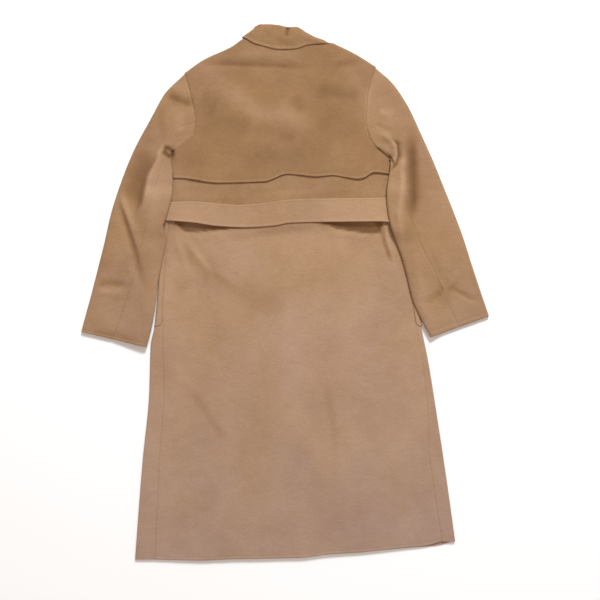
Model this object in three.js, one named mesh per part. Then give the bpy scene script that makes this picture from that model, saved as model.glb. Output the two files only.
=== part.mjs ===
import * as THREE from 'three';

// A long wool coat that lies flat on a surface with its back up and its collar towards +Y.
// Sizes are in millimetres, the surface is z = 0, and the wearer's left is at -X.

// Driving sizes
const CLOTH = 2.2;
const SEAM = 0.3;
const LAYER = CLOTH + SEAM;
const SIDE_AIR = 1.2;
const CENTRE_AIR = 3.0;
const FOLD_RADIUS = CLOTH + SIDE_AIR / 2;
const COLUMNS = 18;
const ARMHOLE_ROWS = 8;
const BELT_RAMP = 12;
const FOLD_STEPS = 4;

// Shares of the body's width, in from each side, over which it swells and its folds reach full height
const SWELL_REACH = 0.36;
const FOLD_REACH = 0.08;

// Colours of the cloth, with its roughness
const COLOURS = {
  body: 0xb08d6e,
  upper: 0xa37d5c,
  sleeve: 0xab8768,
  belt: 0xb9956f,
};
const ROUGHNESS = 0.95;

const lerp = THREE.MathUtils.lerp;
const clamp = THREE.MathUtils.clamp;

function blend(start, end, value) {
  const share = clamp((value - start) / (end - start), 0, 1);
  return share * share * (3 - 2 * share);
}

// A smooth curve through the rows of a table, with no overshoot between them
function curve(rows, key, value) {
  const sorted = [...rows].sort((a, b) => a[key] - b[key]);
  const at = sorted.map((row) => row[key]);
  const to = sorted.map((row) => row[value]);
  const steps = at.slice(1).map((next, i) => (to[i + 1] - to[i]) / (next - at[i]));
  const slopes = at.map((_, i) => {
    const before = steps[Math.max(i - 1, 0)];
    const after = steps[Math.min(i, steps.length - 1)];
    return before * after > 0 ? (2 * before * after) / (before + after) : 0;
  });
  return (where) => {
    const point = clamp(where, at[0], at[at.length - 1]);
    const i = clamp(at.findIndex((next) => next >= point) - 1, 0, steps.length - 1);
    const width = at[i + 1] - at[i];
    const t = (point - at[i]) / width;
    const rest = 1 - t;
    const ends = to[i] * (1 + 2 * t) * rest * rest + to[i + 1] * t * t * (3 - 2 * t);
    return ends + width * (slopes[i] * t * rest * rest - slopes[i + 1] * t * t * rest);
  };
}

// The body's edges: the armhole seam down to the underarm, then the folded side down to the hem
const LEFT_EDGE = curve([
  { y: 491, x: -226 }, { y: 448, x: -213 }, { y: 405, x: -204 }, { y: 385, x: -201 },
  { y: 353, x: -207 }, { y: 331, x: -230 }, { y: 315, x: -257 }, { y: 290, x: -253 },
  { y: 270, x: -259 }, { y: 241, x: -263 }, { y: 151, x: -271 }, { y: 38, x: -279 },
  { y: -18, x: -283 }, { y: -69, x: -288 }, { y: -121, x: -299 }, { y: -225, x: -302 },
  { y: -380, x: -317 }, { y: -600, x: -334 },
], 'y', 'x');
const RIGHT_EDGE = curve([
  { y: 505, x: 204 }, { y: 464, x: 190 }, { y: 432, x: 184 }, { y: 384, x: 182 },
  { y: 352, x: 188 }, { y: 331, x: 199 }, { y: 315, x: 215 }, { y: 293, x: 238 },
  { y: 270, x: 238 }, { y: 241, x: 249 }, { y: 207, x: 253 }, { y: 151, x: 258 },
  { y: 117, x: 262 }, { y: 72, x: 271 }, { y: 27, x: 282 }, { y: -18, x: 293 },
  { y: -79, x: 303 }, { y: -153, x: 318 }, { y: -277, x: 338 }, { y: -416, x: 359 },
  { y: -559, x: 379 },
], 'y', 'x');

// How far each side seam lies in from the folded side, on the back
const LEFT_INSET = curve([
  { y: 300, x: 12 }, { y: 52, x: 8 }, { y: -24, x: 8 }, { y: -69, x: 13 },
  { y: -121, x: 24 }, { y: -328, x: 33 }, { y: -592, x: 41 },
], 'y', 'x');
const RIGHT_INSET = curve([
  { y: 300, x: 12 }, { y: 0, x: 9 }, { y: -214, x: 13 }, { y: -277, x: 17 },
  { y: -380, x: 29 }, { y: -565, x: 27 },
], 'y', 'x');

// Lines across the body, from the left edge (0) to the right edge (1)
const BACK_TOP = curve([
  { across: 0, y: 491 }, { across: 0.1, y: 521 }, { across: 0.25, y: 551 },
  { across: 0.31, y: 565 }, { across: 0.34, y: 567 }, { across: 0.54, y: 552 },
  { across: 0.72, y: 559 }, { across: 0.76, y: 559 }, { across: 0.81, y: 551 },
  { across: 0.9, y: 532 }, { across: 1, y: 505 },
], 'across', 'y');
const FRONT_TOP = curve([
  { across: 0, y: 491 }, { across: 0.1, y: 521 }, { across: 0.25, y: 551 },
  { across: 0.29, y: 560 }, { across: 0.4, y: 506 }, { across: 0.53, y: 476 },
  { across: 0.66, y: 500 }, { across: 0.79, y: 553 }, { across: 0.81, y: 551 },
  { across: 0.9, y: 532 }, { across: 1, y: 505 },
], 'across', 'y');
const UNDERARM = curve([
  { across: 0, y: 315 }, { across: 0.15, y: 320 }, { across: 0.5, y: 322 },
  { across: 0.85, y: 306 }, { across: 1, y: 293 },
], 'across', 'y');
const FLAP_EDGE = curve([
  { across: 0, y: 254 }, { across: 0.09, y: 253 }, { across: 0.12, y: 247 },
  { across: 0.21, y: 244 }, { across: 0.42, y: 247 }, { across: 0.46, y: 253 },
  { across: 0.53, y: 264 }, { across: 0.66, y: 258 }, { across: 0.74, y: 261 },
  { across: 0.85, y: 253 }, { across: 0.93, y: 268 }, { across: 1, y: 264 },
], 'across', 'y');
const BELT_TOP = curve([
  { across: 0, y: 201 }, { across: 0.11, y: 203 }, { across: 0.19, y: 200 },
  { across: 0.31, y: 195 }, { across: 0.43, y: 199 }, { across: 0.58, y: 208 },
  { across: 0.78, y: 210 }, { across: 1, y: 212 },
], 'across', 'y');
const BELT_BOTTOM = curve([
  { across: 0, y: 160 }, { across: 0.12, y: 155 }, { across: 0.23, y: 147 },
  { across: 0.34, y: 144 }, { across: 0.47, y: 148 }, { across: 0.53, y: 154 },
  { across: 0.65, y: 156 }, { across: 0.92, y: 157 }, { across: 1, y: 152 },
], 'across', 'y');
const HEM = curve([
  { across: 0, y: -600 }, { across: 0.15, y: -602 }, { across: 0.27, y: -599 },
  { across: 0.5, y: -596 }, { across: 0.61, y: -588 }, { across: 0.71, y: -584 },
  { across: 0.87, y: -574 }, { across: 0.94, y: -570 }, { across: 1, y: -560 },
], 'across', 'y');

// Rows of the body from neck to hem. Belt is 1 where the belt lies over the row.
const ROWS = [];

function addBand(from, to, cells, belt = 0, front = from) {
  const first = ROWS.length === 0 ? 0 : 1;
  for (let i = first; i <= cells; i += 1) {
    const share = i / cells;
    ROWS.push({
      back: (across) => lerp(from(across), to(across), share),
      front: (across) => lerp(front(across), to(across), share),
      belt,
    });
  }
  return ROWS.length - 1;
}

const lowerBy = (line, distance) => (across) => line(across) - distance;
const UNDERARM_LOW = lowerBy(UNDERARM, SEAM);
const BELT_ABOVE = lowerBy(BELT_TOP, -BELT_RAMP);
const BELT_BELOW = lowerBy(BELT_BOTTOM, BELT_RAMP);
const SKIRT_ROWS = 11;
const UNDERARM_ROW = addBand(BACK_TOP, UNDERARM, ARMHOLE_ROWS, 0, FRONT_TOP);
addBand(UNDERARM, UNDERARM_LOW, 1);
const FLAP_ROW = addBand(UNDERARM_LOW, FLAP_EDGE, 2);
addBand(FLAP_EDGE, BELT_ABOVE, 1);
const BELT_TOP_ROW = addBand(BELT_ABOVE, BELT_TOP, 1, 1);
const BELT_LOW_ROW = addBand(BELT_TOP, BELT_BOTTOM, 1, 1);
addBand(BELT_BOTTOM, BELT_BELOW, 1);
const HEM_ROW = addBand(BELT_BELOW, HEM, SKIRT_ROWS);

// The fronts overlap between two columns, and the belt's two ends overlap under them
const OVERLAP = { left: 7, right: 11 };
const BELT_OVERLAP = { left: 8, right: 10 };

// Folds of the back and flap, each a soft ridge or trough from one point to another
const BACK_FOLDS = [
  { x1: -246, y1: 128, x2: -150, y2: 118, width: 16, rise: 1.6 },
  { x1: 226, y1: 140, x2: 238, y2: 60, width: 12, rise: 1.4 },
  { x1: 70, y1: 128, x2: 190, y2: 112, width: 14, rise: 1.2 },
  { x1: -185, y1: 232, x2: -30, y2: 226, width: 14, rise: 1.0 },
  { x1: -170, y1: 470, x2: -140, y2: 340, width: 30, rise: 1.2 },
  { x1: 150, y1: 460, x2: 130, y2: 350, width: 30, rise: 1.2 },
  { x1: -120, y1: -80, x2: -160, y2: -540, width: 40, rise: 1.2 },
  { x1: 150, y1: -60, x2: 230, y2: -520, width: 40, rise: 1.2 },
];

// Folds of the sleeves, with the same columns
const LEFT_SLEEVE_FOLDS = [
  { x1: -268, y1: 318, x2: -323, y2: 218, width: 12, rise: 2.0 },
  { x1: -304, y1: 342, x2: -338, y2: 173, width: 11, rise: -1.4 },
  { x1: -373, y1: 223, x2: -314, y2: -7, width: 10, rise: -1.2 },
  { x1: -420, y1: 18, x2: -360, y2: 14, width: 9, rise: -1.0 },
];
const RIGHT_SLEEVE_FOLDS = [
  { x1: 260, y1: 324, x2: 270, y2: 154, width: 12, rise: 2.0 },
  { x1: 280, y1: 351, x2: 284, y2: 180, width: 10, rise: -1.4 },
  { x1: 298, y1: -25, x2: 380, y2: 16, width: 9, rise: -1.0 },
  { x1: 353, y1: 2, x2: 440, y2: -20, width: 9, rise: 1.2 },
];

// A fold fades out over this share of its length, at and beyond each end
const FOLD_FADE = 0.2;

// How far the folds raise the cloth at one place
function foldsAt(folds, x, y) {
  let height = 0;
  for (const fold of folds) {
    const dx = fold.x2 - fold.x1;
    const dy = fold.y2 - fold.y1;
    const length = Math.hypot(dx, dy);
    const along = ((x - fold.x1) * dx + (y - fold.y1) * dy) / (length * length);
    const away = ((x - fold.x1) * dy - (y - fold.y1) * dx) / length;
    const ends = blend(-FOLD_FADE, FOLD_FADE, along) * blend(1 + FOLD_FADE, 1 - FOLD_FADE, along);
    height += fold.rise * Math.exp(-((away / fold.width) ** 2)) * ends;
  }
  return height;
}

// A closed wall of cloth between two grids of points. Where cells are left out, its edge closes there.
function wall(name, colour, rows, columns, point, present = () => true) {
  const outside = [];
  const inside = [];
  for (let i = 0; i < rows; i += 1) {
    for (let j = 0; j < columns; j += 1) {
      const [out, into] = point(i, j);
      outside.push(out);
      inside.push(into);
    }
  }
  const id = (i, j) => i * columns + j;
  const isCell = (i, j) => i >= 0 && j >= 0 && i < rows - 1 && j < columns - 1 && present(i, j);
  const count = rows * columns;
  const triangles = [];
  const quad = (a, b, c, d) => triangles.push(a, b, c, a, c, d);
  for (let i = 0; i < rows - 1; i += 1) {
    for (let j = 0; j < columns - 1; j += 1) {
      if (isCell(i, j)) {
        const corners = [id(i, j), id(i + 1, j), id(i + 1, j + 1), id(i, j + 1)];
        const [a, b, c, d] = corners;
        const [p, q, r, s] = corners.map((corner) => corner + count);
        const rightward = outside[d][0] > outside[a][0];
        const diagonal = rightward ? [a, b, c, a, c, d] : [b, c, d, b, d, a];
        triangles.push(...diagonal);
        triangles.push(...diagonal.map((corner) => corner + count).reverse());
        if (!isCell(i, j - 1)) quad(a, p, q, b);
        if (!isCell(i + 1, j)) quad(b, q, r, c);
        if (!isCell(i, j + 1)) quad(c, r, s, d);
        if (!isCell(i - 1, j)) quad(d, s, p, a);
      }
    }
  }
  return closedMesh(name, colour, [...outside, ...inside], triangles);
}

// A mesh of the used points only, turned so that its faces point out
function closedMesh(name, colour, points, triangles) {
  const used = new Map();
  const positions = [];
  const index = triangles.map((corner) => {
    if (!used.has(corner)) {
      used.set(corner, used.size);
      positions.push(...points[corner]);
    }
    return used.get(corner);
  });
  if (volume(positions, index) < 0) index.reverse();
  const geometry = new THREE.BufferGeometry();
  geometry.setAttribute('position', new THREE.Float32BufferAttribute(positions, 3));
  geometry.setIndex(index);
  geometry.computeVertexNormals();
  const material = new THREE.MeshStandardMaterial({ color: colour, roughness: ROUGHNESS, metalness: 0 });
  const mesh = new THREE.Mesh(geometry, material);
  mesh.name = name;
  return mesh;
}

function volume(positions, index) {
  const corner = (i) => new THREE.Vector3().fromArray(positions, index[i] * 3);
  let total = 0;
  for (let i = 0; i < index.length; i += 3) {
    total += corner(i).dot(corner(i + 1).cross(corner(i + 2))) / 6;
  }
  return total;
}

// Where a column crosses a row. Columns -1 and COLUMNS + 1 are the body's edges, 0 and COLUMNS the seams.
function plan(column, row, panel) {
  const across = clamp(column / COLUMNS, 0, 1);
  const y = ROWS[row][panel](across);
  const left = LEFT_EDGE(y);
  const right = RIGHT_EDGE(y);
  if (column < 0) return [left, y];
  if (column > COLUMNS) return [right, y];
  return [lerp(left + LEFT_INSET(y), right - RIGHT_INSET(y), across), y];
}

// How far the belt underneath lifts the coat
function liftAt(column, row) {
  const doubled = column >= BELT_OVERLAP.left && column <= BELT_OVERLAP.right;
  return ROWS[row].belt * LAYER * (doubled ? 2 : 1);
}

// Height of the back's lower face: the coat swells in from both sides, and the folds start there too
function backHeight(column, row) {
  const [x, y] = plan(column, row, 'back');
  const across = clamp(column / COLUMNS, 0, 1);
  const inward = Math.min(across, 1 - across);
  const air = lerp(SIDE_AIR, CENTRE_AIR, blend(0, SWELL_REACH, inward));
  const folds = foldsAt(BACK_FOLDS, x, y) * blend(0, FOLD_REACH, inward);
  return liftAt(column, row) + CLOTH + air + folds;
}

// The back panel, between the side seams and out to the armholes above the underarm
function backPanel(name, colour, level, lastRow) {
  const point = (i, j) => {
    const column = j - 1;
    const [x, y] = plan(column, i, 'back');
    const nudge = column === 0 ? SEAM / 2 : column === COLUMNS ? -SEAM / 2 : 0;
    const z = backHeight(column, i) + level * LAYER;
    return [[x + nudge, y, z + CLOTH], [x + nudge, y, z]];
  };
  const present = (i, j) => (j > 0 && j < COLUMNS + 1) || i < UNDERARM_ROW;
  return wall(name, colour, lastRow + 1, COLUMNS + 3, point, present);
}

// Angles of a fold's steps, from a quarter turn up to a quarter turn down
const foldAngles = Array.from(
  { length: FOLD_STEPS - 1 },
  (_, i) => Math.PI / 2 - (Math.PI * (i + 1)) / FOLD_STEPS,
);

// The columns that a band of cloth passes as it wraps one side: over the back, round the fold, under
function wrapPath(side, topColumns, bottomColumns) {
  const edge = side < 0 ? -1 : COLUMNS + 1;
  return [
    ...topColumns.map((column) => ({ column, top: true })),
    { column: edge, top: true },
    ...foldAngles.map((angle) => ({ column: edge, angle, side })),
    { column: edge, top: false },
    ...bottomColumns.map((column) => ({ column, top: false })),
  ];
}

const range = (from, to) => {
  const step = Math.sign(to - from);
  return Array.from({ length: Math.abs(to - from) + 1 }, (_, i) => from + i * step);
};

// Outer and inner point of a fold at the body's edge, for cloth that lies some way outside the body
function foldPoint(stop, row, panel, outward) {
  const [x, y] = plan(stop.column, row, panel);
  const middle = liftAt(stop.column, row) + FOLD_RADIUS;
  const at = (radius) => [
    x + stop.side * radius * Math.cos(stop.angle),
    y,
    middle + radius * Math.sin(stop.angle),
  ];
  const inner = FOLD_RADIUS - CLOTH + outward;
  return [at(inner + CLOTH), at(inner)];
}

// A front: it lies under the back, folds round the side and ends at the side seam on the back
function frontPanel(name, side) {
  const seam = side < 0 ? 0 : COLUMNS;
  const freeEdge = side < 0 ? OVERLAP.right : OVERLAP.left;
  const path = wrapPath(side, [seam], range(seam, freeEdge));
  const wrapCells = FOLD_STEPS + 1;
  const point = (i, j) => {
    const stop = path[j];
    if (stop.angle !== undefined) return foldPoint(stop, i, 'front', 0);
    const [x, y] = plan(stop.column, i, 'front');
    const lift = liftAt(stop.column, i);
    if (stop.top) {
      const nudge = stop.column === seam ? (side * SEAM) / 2 : 0;
      const z = lift + CLOTH + SIDE_AIR;
      return [[x + nudge, y, z + CLOTH], [x + nudge, y, z]];
    }
    const tucked = side < 0 && stop.column >= OVERLAP.left ? LAYER : 0;
    const z = lift + tucked;
    return [[x, y, z], [x, y, z + CLOTH]];
  };
  const present = (i, j) => j >= wrapCells || i > UNDERARM_ROW;
  return wall(name, COLOURS.body, HEM_ROW + 1, path.length, point, present);
}

// The belt: round the whole waist in one band, with its ends overlapping in front
function belt() {
  const half = (side, bottomColumns) => wrapPath(side, [], bottomColumns);
  const leftHalf = half(-1, range(0, BELT_OVERLAP.right)).reverse();
  const rightHalf = half(1, range(COLUMNS, BELT_OVERLAP.left));
  const over = range(0, COLUMNS).map((column) => ({ column, top: true }));
  const path = [...leftHalf, ...over, ...rightHalf];
  const point = (i, j) => {
    const row = BELT_TOP_ROW + i;
    const stop = path[j];
    if (stop.angle !== undefined) return foldPoint(stop, row, 'back', LAYER);
    const [x, y] = plan(stop.column, row, 'back');
    if (stop.top) {
      const z = backHeight(stop.column, row) + LAYER;
      return [[x, y, z + CLOTH], [x, y, z]];
    }
    const onOther = j > leftHalf.length && stop.column <= BELT_OVERLAP.right;
    const z = onOther ? LAYER : 0;
    return [[x, y, z], [x, y, z + CLOTH]];
  };
  const rows = BELT_LOW_ROW - BELT_TOP_ROW + 1;
  return wall('belt', COLOURS.belt, rows, path.length, point);
}

// A belt loop: a narrow strip over the belt at the side seam
const LOOP = { width: 8, above: 16, below: 22, clear: 2.5, thickness: 1.6 };

function beltLoop(name, side) {
  const seam = side < 0 ? 0 : COLUMNS;
  const across = side < 0 ? 0 : 1;
  const body = 2 * CLOTH + SIDE_AIR;
  const top = BELT_TOP(across);
  const bottom = BELT_BOTTOM(across);
  const over = body + 2 * LAYER + SEAM;
  const stops = [
    { y: top + LOOP.above, z: body + SEAM },
    { y: top + BELT_RAMP, z: body + SEAM },
    { y: top + LOOP.clear, z: over },
    { y: bottom - LOOP.clear, z: over },
    { y: bottom - BELT_RAMP, z: body + SEAM },
    { y: bottom - LOOP.below, z: body + SEAM },
  ];
  const [seamX] = plan(seam, BELT_TOP_ROW, 'back');
  const point = (i, j) => {
    const x = seamX + (j - 0.5) * LOOP.width;
    return [[x, stops[i].y, stops[i].z + LOOP.thickness], [x, stops[i].y, stops[i].z]];
  };
  return wall(name, COLOURS.belt, stops.length, 2, point);
}

// The body's edge between its rows, as straight pieces
function edgeOnRows(column) {
  const points = ROWS.map((_, row) => plan(column, row, 'front'));
  return (y) => {
    const next = Math.max(points.findIndex((point) => point[1] <= y), 1);
    const [x1, y1] = points[next - 1];
    const [x2, y2] = points[next];
    return lerp(x1, x2, (y - y1) / (y2 - y1));
  };
}

// A pocket welt: it lies on the front beside the side seam and rounds the folded side, with a round end
const POCKET = { top: 80, bottom: -76, round: 9, thickness: 1.6, rows: 10, clear: 1.5, tip: 0.2 };

function pocketWelt(name, side) {
  const edge = edgeOnRows(side < 0 ? -1 : COLUMNS + 1);
  const inset = side < 0 ? LEFT_INSET : RIGHT_INSET;
  const angles = [Math.PI / 2, Math.PI / 4, 0];
  const point = (i, j) => {
    const share = i / (POCKET.rows - 1);
    const y = lerp(POCKET.top, POCKET.bottom, share * (2 - share));
    const fromRound = 1 - clamp((y - POCKET.bottom) / POCKET.round, 0, 1);
    const width = inset(y) - POCKET.clear;
    const reach = width * Math.max(Math.sqrt(1 - fromRound ** 2), POCKET.tip);
    const low = FOLD_RADIUS + SEAM;
    const at = (radius) => {
      if (j === 0) return [edge(y) - side * reach, y, FOLD_RADIUS + radius];
      const angle = angles[j - 1];
      return [edge(y) + side * radius * Math.cos(angle), y, FOLD_RADIUS + radius * Math.sin(angle)];
    };
    return [at(low + POCKET.thickness), at(low)];
  };
  return wall(name, COLOURS.body, POCKET.rows, angles.length + 1, point);
}

// Sections down each sleeve, from the armhole to the cuff: its outer and inner edge as it lies
const LEFT_SECTIONS = [
  { outX: -226, outY: 491, inX: -252, inY: 317 },
  { outX: -246, outY: 472, inX: -268, inY: 314 },
  { outX: -268, outY: 449, inX: -267, inY: 293 },
  { outX: -305, outY: 383, inX: -253, inY: 266 },
  { outX: -340, outY: 317, inX: -252, inY: 216 },
  { outX: -370, outY: 242, inX: -263, inY: 167 },
  { outX: -391, outY: 176, inX: -265, inY: 122 },
  { outX: -406, outY: 110, inX: -274, inY: 70 },
  { outX: -420, outY: 54, inX: -284, inY: 23 },
  { outX: -436, outY: -9, inX: -289, inY: -25 },
  { outX: -447, outY: -49, inX: -297, inY: -72 },
  { outX: -457.8, outY: -89, inX: -310, inY: -124 },
];
const RIGHT_SECTIONS = [
  { outX: 204, outY: 505, inX: 234, inY: 294 },
  { outX: 222, outY: 489, inX: 245, inY: 294.5 },
  { outX: 240, outY: 471, inX: 246, inY: 277 },
  { outX: 274, outY: 421, inX: 231, inY: 254 },
  { outX: 307, outY: 351, inX: 226, inY: 216 },
  { outX: 333, outY: 293, inX: 228, inY: 185 },
  { outX: 356, outY: 236, inX: 235, inY: 147 },
  { outX: 380, outY: 176, inX: 246, inY: 117 },
  { outX: 400, outY: 122, inX: 260, inY: 80 },
  { outX: 418, outY: 65, inX: 272, inY: 38 },
  { outX: 437, outY: 7, inX: 285, inY: -16 },
  { outX: 457.8, outY: -54, inX: 325, inY: -102 },
];
const STATIONS = 22;
const HIND_SEAM = 5;
const FORE_SEAM = 6;
const SEAM_SHIFT = -0.4;
const SLEEVE_AIR = 2.2;
const ARMHOLE_GAP = 0.4;

// The armhole seam stops this share of a row short of the shoulder and of the underarm
const ARMHOLE_SHORT = { shoulder: 0.12, underarm: 0.18 };

// Shares of the sleeve's length over which its panels turn from the armhole's line to their own
const TURN_IN = { outer: 0.35, inner: 0.1, seam: 0.4 };

// Shares of its width and length, in from its edges, over which a sleeve swells
const SLEEVE_SWELL = { across: 0.18, down: 0.08 };

// How high the body stands under a sleeve, with room to clear it. The sleeve starts to climb beside
// the body's edge and just above the underarm, and climbs again at the belt.
const UNDER_SLEEVE = {
  body: 9.3, belt: 13.8, margin: 16, ramp: 36,
  start: -32, up: -6, above: 2, below: 24,
};

// The direction in plan from one point to another
function towards(from, to) {
  const length = Math.hypot(to[0] - from[0], to[1] - from[1]);
  return [(to[0] - from[0]) / length, (to[1] - from[1]) / length];
}

function sleeve(side) {
  const sections = side < 0 ? LEFT_SECTIONS : RIGHT_SECTIONS;
  const rows = sections.map((section, index) => ({ ...section, index }));
  const edges = {};
  for (const key of ['outX', 'outY', 'inX', 'inY']) edges[key] = curve(rows, 'index', key);
  const edgeX = side < 0 ? LEFT_EDGE : RIGHT_EDGE;
  const edgeColumn = side < 0 ? -1 : COLUMNS + 1;
  const across = side < 0 ? 0 : 1;
  const underarmY = UNDERARM(across);
  const folds = side < 0 ? LEFT_SLEEVE_FOLDS : RIGHT_SLEEVE_FOLDS;

  // The armhole end follows the rows of the body's armhole, a little short of both its ends
  const armhole = range(0, ARMHOLE_ROWS).map((row) => {
    const at = clamp(row, ARMHOLE_SHORT.shoulder, ARMHOLE_ROWS - ARMHOLE_SHORT.underarm);
    const [x1, y1] = plan(edgeColumn, Math.floor(at), 'back');
    const [x2, y2] = plan(edgeColumn, Math.floor(at) + 1, 'back');
    const share = at - Math.floor(at);
    return [lerp(x1, x2, share) + side * ARMHOLE_GAP, lerp(y1, y2, share)];
  });

  const lift = (x, y) => {
    const inward = side * (edgeX(y) - x);
    const under = UNDER_SLEEVE;
    const pastUnderarm = blend(underarmY + under.above, underarmY - under.below, y);
    const onBody = blend(under.start, under.up, inward) * pastUnderarm;
    const above = BELT_TOP(across) + under.margin;
    const below = BELT_BOTTOM(across) - under.margin;
    const nearBelt = blend(above + under.ramp, above, y) * blend(below - under.ramp, below, y);
    return onBody * lerp(under.body, under.belt, nearBelt);
  };

  const station = (i) => {
    const share = i / STATIONS;
    const at = share * (sections.length - 1);
    const out = [edges.outX(at), edges.outY(at)];
    const into = [edges.inX(at), edges.inY(at)];
    const width = Math.hypot(into[0] - out[0], into[1] - out[1]);
    return { share, out, into, width, direction: towards(out, into) };
  };
  const start = station(0);

  const planAt = (i, j) => {
    const here = station(i);
    const f = j / ARMHOLE_ROWS;
    const warp = SEAM_SHIFT * f * (1 - f) * blend(0, TURN_IN.seam, here.share);
    const between = (place, way) => {
      const inset = FOLD_RADIUS / place.width;
      const g = lerp(inset, 1 - inset, f + way);
      return [lerp(place.out[0], place.into[0], g), lerp(place.out[1], place.into[1], g)];
    };
    const straight = between(here, warp);
    const first = between(start, 0);
    const fade = 1 - blend(0, lerp(TURN_IN.outer, TURN_IN.inner, f), here.share);
    return [
      straight[0] + (armhole[j][0] - first[0]) * fade,
      straight[1] + (armhole[j][1] - first[1]) * fade,
    ];
  };

  const pointAt = (i, stop) => {
    const here = station(i);
    const [x, y] = planAt(i, stop.j);
    const base = lift(x, y);
    if (stop.angle !== undefined) {
      const away = stop.j === 0 ? -1 : 1;
      const next = stop.j === 0 ? 1 : ARMHOLE_ROWS - 1;
      const seamWay = towards(armhole[Math.min(stop.j, next)], armhole[Math.max(stop.j, next)]);
      const way = i === 0 ? seamWay : here.direction;
      const at = (radius) => [
        x + away * way[0] * radius * Math.cos(stop.angle),
        y + away * way[1] * radius * Math.cos(stop.angle),
        base + FOLD_RADIUS + radius * Math.sin(stop.angle),
      ];
      return [at(FOLD_RADIUS), at(FOLD_RADIUS - CLOTH)];
    }
    const nudge = (stop.nudge ?? 0) * SEAM / 2;
    const px = x + here.direction[0] * nudge;
    const py = y + here.direction[1] * nudge;
    if (!stop.top) return [[px, py, base], [px, py, base + CLOTH]];
    const f = stop.j / ARMHOLE_ROWS;
    const inward = blend(0, SLEEVE_SWELL.across, Math.min(f, 1 - f));
    const swell = inward * blend(0, SLEEVE_SWELL.down, here.share);
    const air = SIDE_AIR + swell * (SLEEVE_AIR - SIDE_AIR + foldsAt(folds, x, y));
    const z = base + CLOTH + Math.max(air, SEAM);
    return [[px, py, z + CLOTH], [px, py, z]];
  };

  // The upper sleeve wraps the outer edge and the under sleeve the inner edge, seam to seam
  const panel = (name, edge) => {
    const way = edge === 0 ? 1 : -1;
    const top = range(HIND_SEAM, edge).map((j) => ({ j, top: true }));
    const bottom = range(edge, FORE_SEAM).map((j) => ({ j, top: false }));
    top[0].nudge = -way;
    bottom[bottom.length - 1].nudge = -way;
    const turn = foldAngles.map((angle) => ({ j: edge, angle }));
    const path = [...top, ...turn, ...bottom];
    return wall(name, COLOURS.sleeve, STATIONS + 1, path.length, (i, j) => pointAt(i, path[j]));
  };
  const word = side < 0 ? 'left' : 'right';
  return [panel(`sleeve_${word}_upper`, 0), panel(`sleeve_${word}_under`, ARMHOLE_ROWS)];
}

// Sections round each collar half, from the centre back, over the neck's side, to the centre front.
// Each gives the neck seam, the fold and the free edge, and the turn from the back (1) to the front (-1).
const LEFT_COLLAR = [
  { turn: 1, neckX: 5.5, neckY: 554, foldX: 5.5, foldY: 594, freeX: 5.5, freeY: 543 },
  { turn: 1, neckX: -20, neckY: 559, foldX: -20, foldY: 600, freeX: -14, freeY: 543 },
  { turn: 1, neckX: -42, neckY: 567, foldX: -40, foldY: 601, freeX: -47, freeY: 550 },
  { turn: 1, neckX: -62, neckY: 572, foldX: -56, foldY: 599, freeX: -72, freeY: 559 },
  { turn: 1, neckX: -68, neckY: 576, foldX: -62, foldY: 596, freeX: -84, freeY: 568 },
  { turn: 0, neckX: -71, neckY: 578, foldX: -64, foldY: 594, freeX: -89, freeY: 573 },
  { turn: -1, neckX: -68, neckY: 570, foldX: -58, foldY: 588, freeX: -82, freeY: 565 },
  { turn: -1, neckX: -44, neckY: 532, foldX: -26, foldY: 566, freeX: -48, freeY: 528 },
  { turn: -1, neckX: 4, neckY: 492, foldX: 4, foldY: 534, freeX: 4, freeY: 488 },
];
const RIGHT_COLLAR = [
  { turn: 1, neckX: 5.5, neckY: 554, foldX: 5.5, foldY: 594, freeX: 5.5, freeY: 543 },
  { turn: 1, neckX: 24, neckY: 556, foldX: 24, foldY: 595, freeX: 27, freeY: 545 },
  { turn: 1, neckX: 44, neckY: 560, foldX: 46, foldY: 587, freeX: 48, freeY: 552 },
  { turn: 1, neckX: 62, neckY: 564, foldX: 66, foldY: 579, freeX: 71, freeY: 559 },
  { turn: 0, neckX: 82, neckY: 565, foldX: 86, foldY: 571, freeX: 94, freeY: 560 },
  { turn: -1, neckX: 76, neckY: 556, foldX: 74, foldY: 570, freeX: 80, freeY: 552 },
  { turn: -1, neckX: 50, neckY: 520, foldX: 42, foldY: 554, freeX: 52, freeY: 518 },
  { turn: -1, neckX: 8, neckY: 492, foldX: 8, foldY: 534, freeX: 8, freeY: 488 },
];

// Heights of the collar's middle: the stand next to the neck and the fall outside it
const BACK_STAND = CLOTH + CENTRE_AIR + CLOTH / 2;
const BACK_FALL = BACK_STAND + 2 * LAYER;
const FRONT_FALL = CLOTH / 2;
const FRONT_STAND = FRONT_FALL + LAYER;
const COLLAR_STEPS = 14;
const STAND_STEPS = 2;
const ROLL_STEPS = 4;

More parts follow.
